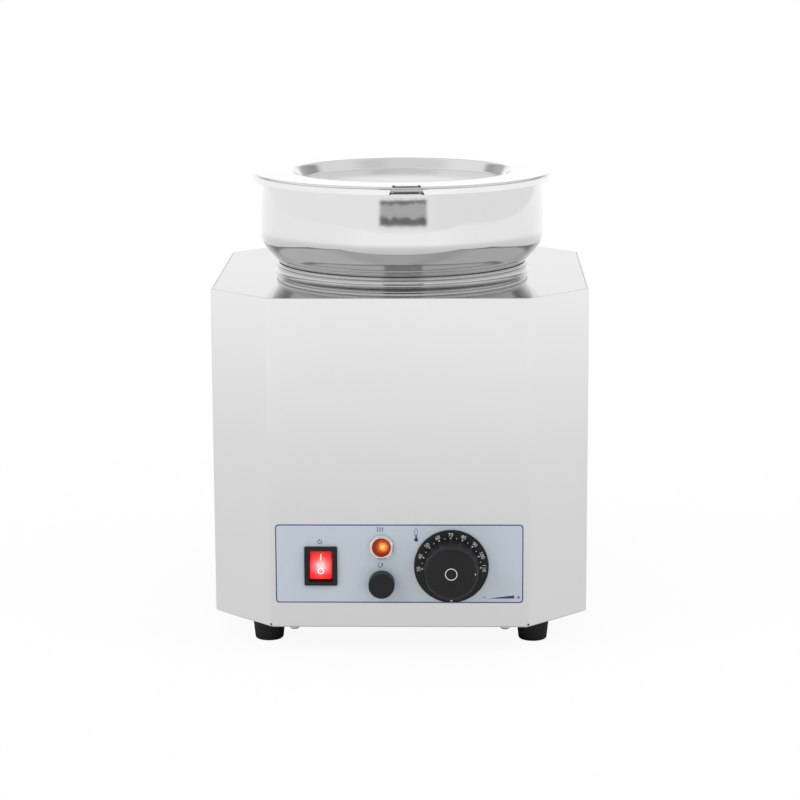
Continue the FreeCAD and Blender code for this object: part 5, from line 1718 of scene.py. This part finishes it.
    def rocker(self) -> None:
        """Lit rocker with rounded edges and its printed bar and ring, upper half pressed in."""
        edge = 0.7
        levels = [(0.02, 0.01, None, -2.0), (8.0, 10.0, 0.4, -2.0), (8.25, 10.3, 0.5, -1.6)]
        rows = [(8.25, 10.7, 0.5, 1.0)]
        for turn in np.radians(np.linspace(0, 90, 7)):
            shrink = edge * (1 - math.cos(turn))
            rows.append((8.25 - shrink, 10.7 - shrink, 0.6, edge * (math.sin(turn) - 1)))
        outlines = [rounded_rectangle(x, y, r or 0.005, 8) for x, y, r, _ in levels]
        heights: list[float | Array] = [z for *_, z in levels]
        for k, (x, y, r, drop) in enumerate(rows):
            outline = rounded_rectangle(x, y, r, 8)
            outlines.append(outline)
            heights.append(drop if k == 0 else self.rocker_height(outline[:, 1]) + drop)
        face = rounded_rectangle(7.55, 10.0, 0.6, 8)
        for share in np.linspace(0.9, 0.002, 10):
            outlines.append(face * share)
            heights.append(self.rocker_height(face[:, 1] * share))
        faces = Surface.from_grid(stack(outlines, heights))
        pins = [self.pin(sign) for sign in (-1, 1)]
        shape = self.tilted(joined([faces, *pins]))
        self.shop.piece("lit_rocker", self.front(shape, self.switch), Body.ROCKER, "red_lens",
                        ("switch_rocker",), sharp=38)
        bar = ribbon(np.column_stack([np.zeros(14), np.linspace(3.4, 8.2, 14)]), 0.55, 1.0)
        ring = ribbon(arc((0, -4.6), 2.1, 0, 360, 40)[:-1], 0.6, 1.0, closed=True)
        mark = bar + ring
        mark.points[:, 2] = self.rocker_height(mark.points[:, 1]) - 0.05 + 0.10 * mark.points[:, 2]
        self.shop.piece("rocker_print", self.front(self.tilted(mark), self.switch), Body.ROCKER,
                        "red_lens", ink=LIT)

    def pin(self, sign: int) -> Surface:
        """Pivot pin on one side of the rocker, along X."""
        line = np.array([(0, 0), (1.5, 0), (1.5, 1.6), (0, 1.6)], float)
        pin = Surface.turned(line, 24)
        x = sign * (pin.points[:, 2] + 8.0)
        return Surface(np.column_stack([x, pin.points[:, 0], pin.points[:, 1]]), pin.faces).outwards()

    def pilot_lamp(self) -> None:
        """Bright ring with a rounded edge and a lip round the lens, and the lens with its rings."""
        low = self.sizes.label_t
        ring = rounded_line([(5.9, -12.0), (6.8, -12.0), (6.8, low), (9.4, low), (9.4, low + 2.6),
                             (7.2, low + 2.6), (7.2, low + 0.6), (5.9, low + 0.6)],
                            [0.1, 0.0, 0.15, 1.4, 0.35, 0.0], 10)
        self.shop.piece("lamp_ring", self.front(Surface.turned(ring, 96, closed=True), self.lamp),
                        Body.HOUSING, "bright_ring", ("lamp_bezel",))
        seat = low + 0.6
        radius = np.linspace(7.1, 0, 72)
        dome_r = (7.1 ** 2 + 2.2 ** 2) / 4.4
        dome = seat + 3.8 - dome_r + np.sqrt(dome_r ** 2 - radius ** 2)
        steps = 0.12 * np.cos(TURN * radius / 1.42) * np.clip((7.0 - radius) * 1.5, 0, 1)
        top = np.column_stack([radius, dome - 0.12 + steps])
        line = np.vstack([[(0, seat - 4), (5.8, seat - 4), (5.8, seat), (7.1, seat)], top])
        self.shop.piece("lamp_dome", self.front(Surface.turned(line, 96), self.lamp), Body.HOUSING,
                        "amber_lens", ("lamp_lens",), sharp=50)

    def cap(self) -> None:
        """Reset cap: rounded edge, a slightly sunk face and the thread's recess."""
        low = self.sizes.label_t + 0.1
        high = low + 10.0
        line = rounded_line([(0.0, 8.6), (5.08, 8.6), (5.08, 3.25), (8.58, 3.25), (8.58, low),
                             (10.0, low), (9.85, high), (8.1, high), (7.7, high - 0.25),
                             (0.0, high - 0.25)],
                            [0.0, 0.0, 0.0, 0.0, 0.25, 1.0, 0.3, 0.3], 8)
        self.shop.piece("screw_cap", self.front(Surface.turned(line, 96), self.reset), Body.CAP,
                        "black_plastic", ("reset_cap",))


@dataclass
class Regulator:
    """Dial plate with its scale, and the knob."""

    shop: Workshop
    sizes: Sizes
    place: tuple[float, float] = (39.7, 69.0)
    dial_r: float = 28.5
    figure_r: float = 24.9
    figure_size: float = 2.75
    dot_r: float = 22.4

    def front(self, surface: Surface) -> Surface:
        """Surface drawn about the shaft, put on the front."""
        return surface.moved(Facing.FRONT, (self.place[0], self.sizes.front_y, self.place[1]))

    def build(self) -> None:
        """Builds the pieces."""
        self.dial()
        self.scale()
        self.knob()

    def dial(self) -> None:
        """Black disc with a rounded edge, open for the bush."""
        low = self.sizes.label_t
        high = low + 2.0
        line = rounded_line([(4.6, low), (self.dial_r, low), (self.dial_r, high), (4.6, high)],
                            [0.2, 0.8], 8)
        self.shop.piece("dial_disc", self.front(Surface.turned(line, 128, closed=True)), Body.HOUSING,
                        "control_black", ("dial_plate",))

    def scale(self) -> None:
        """White figures from 30 to 110, a dot at each, smaller dots between, and a tick below."""
        high = self.sizes.label_t + 2.0
        start, step = 184.6, -23.35
        marks = []
        for k in range(9):
            turn = start + step * k
            c, s = math.cos(math.radians(turn)), math.sin(math.radians(turn))
            figures = lettering(str(30 + 10 * k), self.figure_size, 0.0, 0.04)
            marks.append(shifted(figures, self.figure_r * c, self.figure_r * s, turn - 90))
            marks.append(disc(0.62, 0.04, (self.dot_r * c, self.dot_r * s)))
            if k < 8:
                c, s = (f(math.radians(turn + step / 2)) for f in (math.cos, math.sin))
                marks.append(disc(0.42, 0.04, (self.dot_r * c, self.dot_r * s)))
        marks.append(ribbon(np.array([(-0.9, -26.9), (0.9, -26.9)]), 0.7, 0.04))
        scale = joined(marks)
        scale.points[:, 2] += high
        self.shop.piece("scale_print", self.front(scale), Body.HOUSING, "control_black", ink=WHITE)

    def knob(self) -> None:
        """Hollow tapered knob with a rounded face edge, a fingertip dimple, a pointer dot and a
        plain ring."""
        low, high = 2.55, 24.95
        line = rounded_line([(0.0, 22.2), (3.05, 22.2), (3.05, 3.55), (6.0, 3.55), (6.0, 22.6),
                             (17.6, 22.6), (19.1, low), (21.5, low), (20.0, high), (0.0, high)],
                            [0.0, 0.0, 0.0, 0.5, 1.0, 0.0, 0.4, 3.2], 14)
        body = Surface.turned(line, 160)
        well = Surface.turned(np.array([(0.0, high - 0.4), (2.3, high - 0.4), (2.75, high + 0.05),
                                        (2.75, high + 1), (0.0, high + 1)]), 48)
        shape = solid_of(body, [shifted(well, 0, -9.5)])
        self.shop.piece("turning_knob", self.front(shape), Body.KNOB, "control_black", ("knob",),
                        sharp=35)
        ring = ribbon(circle(4.35, sides=64), 0.6, 0.05, closed=True)
        dot = disc(0.55, 0.32, (18.1, 0.0), -0.42)
        marks = joined([ring, dot])
        marks.points[:, 2] += high - 0.01
        self.shop.piece("knob_print", self.front(marks), Body.KNOB, "control_black", ink=WHITE)


@dataclass
class Gland:
    """Cable gland at the back."""

    shop: Workshop
    sizes: Sizes
    place: tuple[float, float] = (-60.0, 50.5)
    across: float = 20.0

    def build(self) -> None:
        """Builds the hexagon with its thread and the dome nut."""
        hexagon = rounded_polygon(self.across, 6, 1.0)
        angles = np.arctan2(hexagon[:, 1], hexagon[:, 0])

        def round_at(radius: float) -> Array:
            return np.column_stack([radius * np.cos(angles), radius * np.sin(angles)])

        shank = [(round_at(4.4), -11.0), (round_at(7.6), -11.0), (round_at(8.0), -10.6),
                 (round_at(8.0), 0.0), (hexagon * 0.97, 0.0), (hexagon, 0.3), (hexagon, 4.5),
                 (hexagon * 0.95, 5.0), (round_at(7.9), 5.0), (round_at(7.9), 13.9),
                 (round_at(6.4), 13.9), (round_at(6.4), 5.05), (round_at(4.4), 5.05)]
        low = 5.5
        nut = [(round_at(8.05), low), (hexagon * 0.96, low), (hexagon, low + 0.4),
               (hexagon, low + 8.4), (hexagon * 0.98, low + 9.0)]
        nut += [(round_at(9.9 - 2.6 * share ** 1.6), low + 9.0 + 9.3 * share)
                for share in np.linspace(0.1, 1.0, 10)]
        nut += [(round_at(6.6), 24.8), (round_at(6.1), 25.0), (round_at(4.9), 25.0),
                (round_at(4.4), 24.5), (round_at(4.4), 14.3), (round_at(8.05), 14.3)]
        back = (self.place[0], self.sizes.back_y, self.place[1])
        for name, levels, node in (("gland_shank", shank, "gland_body"),
                                   ("dome_nut", nut, "gland_nut")):
            surface = Surface.from_grid(stack([o for o, _ in levels], [z for _, z in levels]),
                                        wrap_rows=True)
            self.shop.piece(name, surface.moved(Facing.BACK, back), Body.HOUSING, "black_plastic",
                            (node,))


# Studio and camera

@dataclass
class Studio:
    """Pale floor, white surroundings with a dim ceiling and a dark patch on one side, soft lamps."""

    front_edge: float = -4.5
    back_edge: float = 12.0
    side_edge: float = 6.0
    plain: float = 0.60
    # reflected floor levels near the object: painted shade, rising to the far levels
    reflected_shade_near: float = 0.66
    floor_far: float = 1.09
    ceiling: float = 0.28
    front_band: float = 0.48
    back_light: float = 0.08
    back_dim: float = 0.13
    reflected_side_shade: float = 0.70
    side_far: float = 1.03
    # reflected floor level under the body's footprint: a painted shadow
    under: float = 0.03
    # the dark patch: degrees of azimuth, and bars of rise from and to, softness and depth
    patch_side: tuple[float, float] = (-16.5, 21.0)
    patch_bars: tuple[tuple[float, float, float, float], ...] = (
        (5.0, 6.4, 0.2, 0.36), (-2.0, 0.6, 0.4, 0.34), (10.5, 40.0, 1.0, 0.34))
    # name, place, width and power of the lamps
    lamps: tuple[tuple[str, tuple[float, float, float], float, float], ...] = (
        ("left_panel", (-2.2, -1.2, 1.9), 1.6, 26.0),
        ("right_panel", (2.3, -0.9, 1.7), 1.6, 20.0),
        ("top_panel", (0.1, -0.2, 2.8), 2.2, 22.0))

    def build(self) -> None:
        """Builds the floor, the surroundings and the lamps."""
        self.floor()
        self.world()
        for name, place, size, power in self.lamps:
            lamp = bpy.data.lights.new(name, "AREA")
            lamp.energy = power
            lamp.size = size
            holder = bpy.data.objects.new(name, lamp)
            bpy.context.scene.collection.objects.link(holder)
            holder.location = place
            aim = np.array([0, 0, 0.18]) - np.array(place)
            holder.rotation_euler = direction_turn(aim)
            holder.visible_glossy = False
            holder.visible_camera = False

    def floor(self) -> None:
        """Flat floor whose tone fades into the white surroundings away from the object. In reflections
        its level is painted shade, dimmer near the object, with a painted shadow under the body.
        """
        mesh = bpy.data.meshes.new("floor")
        low, high, side = self.front_edge, self.back_edge, self.side_edge
        corners = [(-side, low, 0), (side, low, 0), (side, high, 0), (-side, high, 0)]
        mesh.from_pydata(corners, [], [(0, 1, 2, 3)])
        floor = bpy.data.objects.new("floor", mesh)
        bpy.context.scene.collection.objects.link(floor)
        material = bpy.data.materials.new("pale_floor")
        material.use_nodes = True
        nodes = Nodes(material.node_tree)
        material.node_tree.nodes.clear()
        place = nodes.add("ShaderNodeTexCoord").outputs["Object"]
        away = nodes.add("ShaderNodeVectorMath", operation="LENGTH")
        nodes.link(place, away.inputs[0])
        distance = away.outputs["Value"]
        diffuse = nodes.add("ShaderNodeBsdfDiffuse", Color=(0.86, 0.86, 0.86, 1.0))
        white = nodes.add("ShaderNodeEmission", Color=(1.0, 1.0, 1.0, 1.0), Strength=1.0)
        shown = self.blend(nodes, nodes.spread(distance, 0.93, 1.0, 0.2, 0.9), diffuse, white)
        # Reflected floor: painted shade, dimmer near the object ahead and beside it, and a painted
        # shadow under the body's octagon footprint.
        mirrored = nodes.add("ShaderNodeEmission", Color=(1.0, 1.0, 1.0, 1.0))
        ahead = nodes.spread(distance, self.reflected_shade_near, self.floor_far, 0.2, 2.35)
        beside = nodes.spread(distance, self.reflected_side_shade, self.side_far, 0.2, 2.8)
        ahead.node.interpolation_type = beside.node.interpolation_type = "SMOOTHSTEP"
        parts = nodes.add("ShaderNodeSeparateXYZ", Vector=place)
        across, along = (nodes.math("ABSOLUTE", parts.outputs[axis]) for axis in "XY")
        share = nodes.spread(nodes.math("DIVIDE", across, distance), 0.0, 1.0, 0.45, 0.85)
        level = nodes.math("MULTIPLY_ADD", nodes.math("SUBTRACT", beside, ahead), share, ahead)
        cut = nodes.math("MULTIPLY", nodes.math("ADD", across, along), 0.594)
        rim = nodes.math("MAXIMUM", nodes.math("MAXIMUM", across, along), cut)
        level = nodes.math("MULTIPLY", level, nodes.spread(rim, self.under, 1.0, 0.125, 0.155))
        nodes.link(level, mirrored.inputs["Strength"])
        path = nodes.add("ShaderNodeLightPath")
        lit = self.blend(nodes, path.outputs["Is Camera Ray"], diffuse, shown)
        kind = self.blend(nodes, self.reflected(nodes, path), lit, mirrored)
        out = nodes.add("ShaderNodeOutputMaterial")
        nodes.link(kind.outputs[0], out.inputs["Surface"])
        mesh.materials.append(material)

    @staticmethod
    def reflected(nodes: Nodes, path: bpy.types.Node) -> bpy.types.NodeSocket:
        """1 for rays that come off a mirror or through glass."""
        return nodes.math("MAXIMUM", path.outputs["Is Glossy Ray"],
                          path.outputs["Is Transmission Ray"])

    @staticmethod
    def blend(nodes: Nodes, share: bpy.types.NodeSocket, first: bpy.types.Node,
              second: bpy.types.Node) -> bpy.types.Node:
        """Mix of two shader nodes by a share."""
        mix = nodes.add("ShaderNodeMixShader")
        nodes.link(share, mix.inputs[0])
        nodes.link(first.outputs[0], mix.inputs[1])
        nodes.link(second.outputs[0], mix.inputs[2])
        return mix

    @staticmethod
    def window(nodes: Nodes, value: bpy.types.NodeSocket, low: float, high: float,
               soft: float) -> bpy.types.NodeSocket:
        """Mask that is 1 between two values and falls softly outside them."""
        masks = []
        for start, end in ((low - soft, low + soft), (high + soft, high - soft)):
            node = nodes.add("ShaderNodeMapRange", Value=value)
            node.interpolation_type = "SMOOTHSTEP"
            node.inputs["From Min"].default_value = start
            node.inputs["From Max"].default_value = end
            masks.append(node.outputs[0])
        return nodes.math("MULTIPLY", masks[0], masks[1])

    def world(self) -> None:
        """Surroundings by ray: white for the camera, a plain level for diffuse light, and for
        reflections white with a dimmer ceiling and side and a dark patch low on the camera side."""
        world = bpy.data.worlds.new("surroundings")
        bpy.context.scene.world = world
        world.use_nodes = True
        tree = world.node_tree
        tree.nodes.clear()
        nodes = Nodes(tree)
        ray = nodes.add("ShaderNodeTexCoord").outputs["Generated"]
        parts = nodes.add("ShaderNodeSeparateXYZ", Vector=ray)
        x, y, z = (parts.outputs[axis] for axis in "XYZ")
        forward = nodes.math("MULTIPLY", y, -1.0)
        azimuth = nodes.math("MULTIPLY", nodes.math("ARCTAN2", x, forward), 180 / math.pi)
        rise = nodes.math("MULTIPLY", nodes.math("ARCSINE", z), 180 / math.pi)
        away = nodes.math("ABSOLUTE", azimuth)
        level = nodes.math("MULTIPLY_ADD", self.window(nodes, azimuth, 25, 155, 12), -0.07, 1.0)
        back = self.window(nodes, away, 150, 400, 10)
        level = nodes.math("MULTIPLY_ADD", back, self.back_light, level)
        dim = nodes.math("MULTIPLY", self.window(nodes, rise, 13, 160, 2), self.back_dim)
        level = nodes.math("SUBTRACT", level, nodes.math("MULTIPLY", back, dim))
        beside = nodes.math("MULTIPLY_ADD", self.window(nodes, away, 60, 150, 15), -0.5, 1.0)
        ceiling = nodes.math("MULTIPLY", self.window(nodes, rise, 20, 160, 7), self.ceiling)
        ceiling = nodes.math("MULTIPLY", ceiling, beside)
        band = nodes.math("MULTIPLY", self.window(nodes, rise, 11.5, 27, 2), self.front_band)
        band = nodes.math("MULTIPLY", band, self.window(nodes, away, -400, 150, 10))
        level = nodes.math("SUBTRACT", nodes.math("SUBTRACT", level, ceiling), band)
        ragged = nodes.noise(ray, 9.0, 3.0, 0.6)
        height = nodes.math("ADD", rise, nodes.spread(ragged, -0.7, 0.7))
        depth = nodes.math("MULTIPLY", self.window(nodes, rise, -1.9, 6.2, 0.5), 0.50)
        for low, high, soft, share in self.patch_bars:
            bar = nodes.math("MULTIPLY", self.window(nodes, height, low, high, soft), share)
            depth = nodes.math("ADD", depth, bar)
        patch = nodes.math("MULTIPLY", self.window(nodes, azimuth, *self.patch_side, 2.0), depth)
        level = nodes.math("MAXIMUM", nodes.math("SUBTRACT", level, patch), 0.05)
        path = nodes.add("ShaderNodeLightPath")
        seen = self.reflected(nodes, path)
        plain = nodes.math("ADD", nodes.math("MULTIPLY", level, seen),
                           nodes.math("MULTIPLY", nodes.math("SUBTRACT", 1.0, seen), self.plain))
        camera = path.outputs["Is Camera Ray"]
        unseen = nodes.math("SUBTRACT", 1.0, camera)
        strength = nodes.math("ADD", camera, nodes.math("MULTIPLY", plain, unseen))
        background = nodes.add("ShaderNodeBackground", Color=(1.0, 1.0, 1.0, 1.0))
        nodes.link(strength, background.inputs["Strength"])
        out = nodes.add("ShaderNodeOutputWorld")
        nodes.link(background.outputs[0], out.inputs["Surface"])


def direction_turn(aim: Array) -> tuple[float, float, float]:
    """Turn that points an object's -Z along a direction."""
    aim = aim / np.linalg.norm(aim)
    pitch = math.acos(float(-aim[2]))
    yaw = math.atan2(float(aim[0]), float(-aim[1]))
    return (pitch, 0.0, yaw + math.pi)


@dataclass
class Viewpoint:
    """Camera that stands where the photographer's stood."""

    place: tuple[float, float, float] = (0.0467, -2.0808, 0.5889)
    pitch: float = 11.409
    yaw: float = -1.349
    roll: float = -0.266
    lens: float = 118.0

    def build(self) -> None:
        """Makes the camera: its right, up and back directions are the columns of its matrix."""
        pitch, yaw, roll = (math.radians(v) for v in (self.pitch, self.yaw, self.roll))
        ahead = np.array([math.sin(yaw) * math.cos(pitch), math.cos(yaw) * math.cos(pitch),
                          -math.sin(pitch)])
        right = np.array([math.cos(yaw), -math.sin(yaw), 0.0])
        up = np.cross(right, ahead)
        columns = [math.cos(roll) * right + math.sin(roll) * up,
                   math.cos(roll) * up - math.sin(roll) * right, -ahead, np.array(self.place)]
        matrix = np.eye(4)
        matrix[:3] = np.column_stack(columns)
        lens = bpy.data.cameras.new("camera")
        lens.lens = self.lens
        lens.sensor_width = 36.0
        lens.clip_start, lens.clip_end = 0.05, 60.0
        camera = bpy.data.objects.new("camera", lens)
        bpy.context.scene.collection.objects.link(camera)
        camera.matrix_world = matrix.T.tolist()
        bpy.context.scene.camera = camera


def main() -> None:
    """Builds the melter round its frame."""
    logging.basicConfig(level=logging.INFO, format="%(name)s: %(message)s")
    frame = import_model()
    shop = Workshop(frame)
    sizes = Sizes()
    for assembly in (Housing(shop, sizes), Vessels(shop, sizes), Controls(shop, sizes),
                     Regulator(shop, sizes), Gland(shop, sizes)):
        assembly.build()
    shop.dress_nodes()
    Studio().build()
    Viewpoint().build()
    bpy.context.scene.view_settings.view_transform = "Standard"


if __name__ == "__main__":
    main()
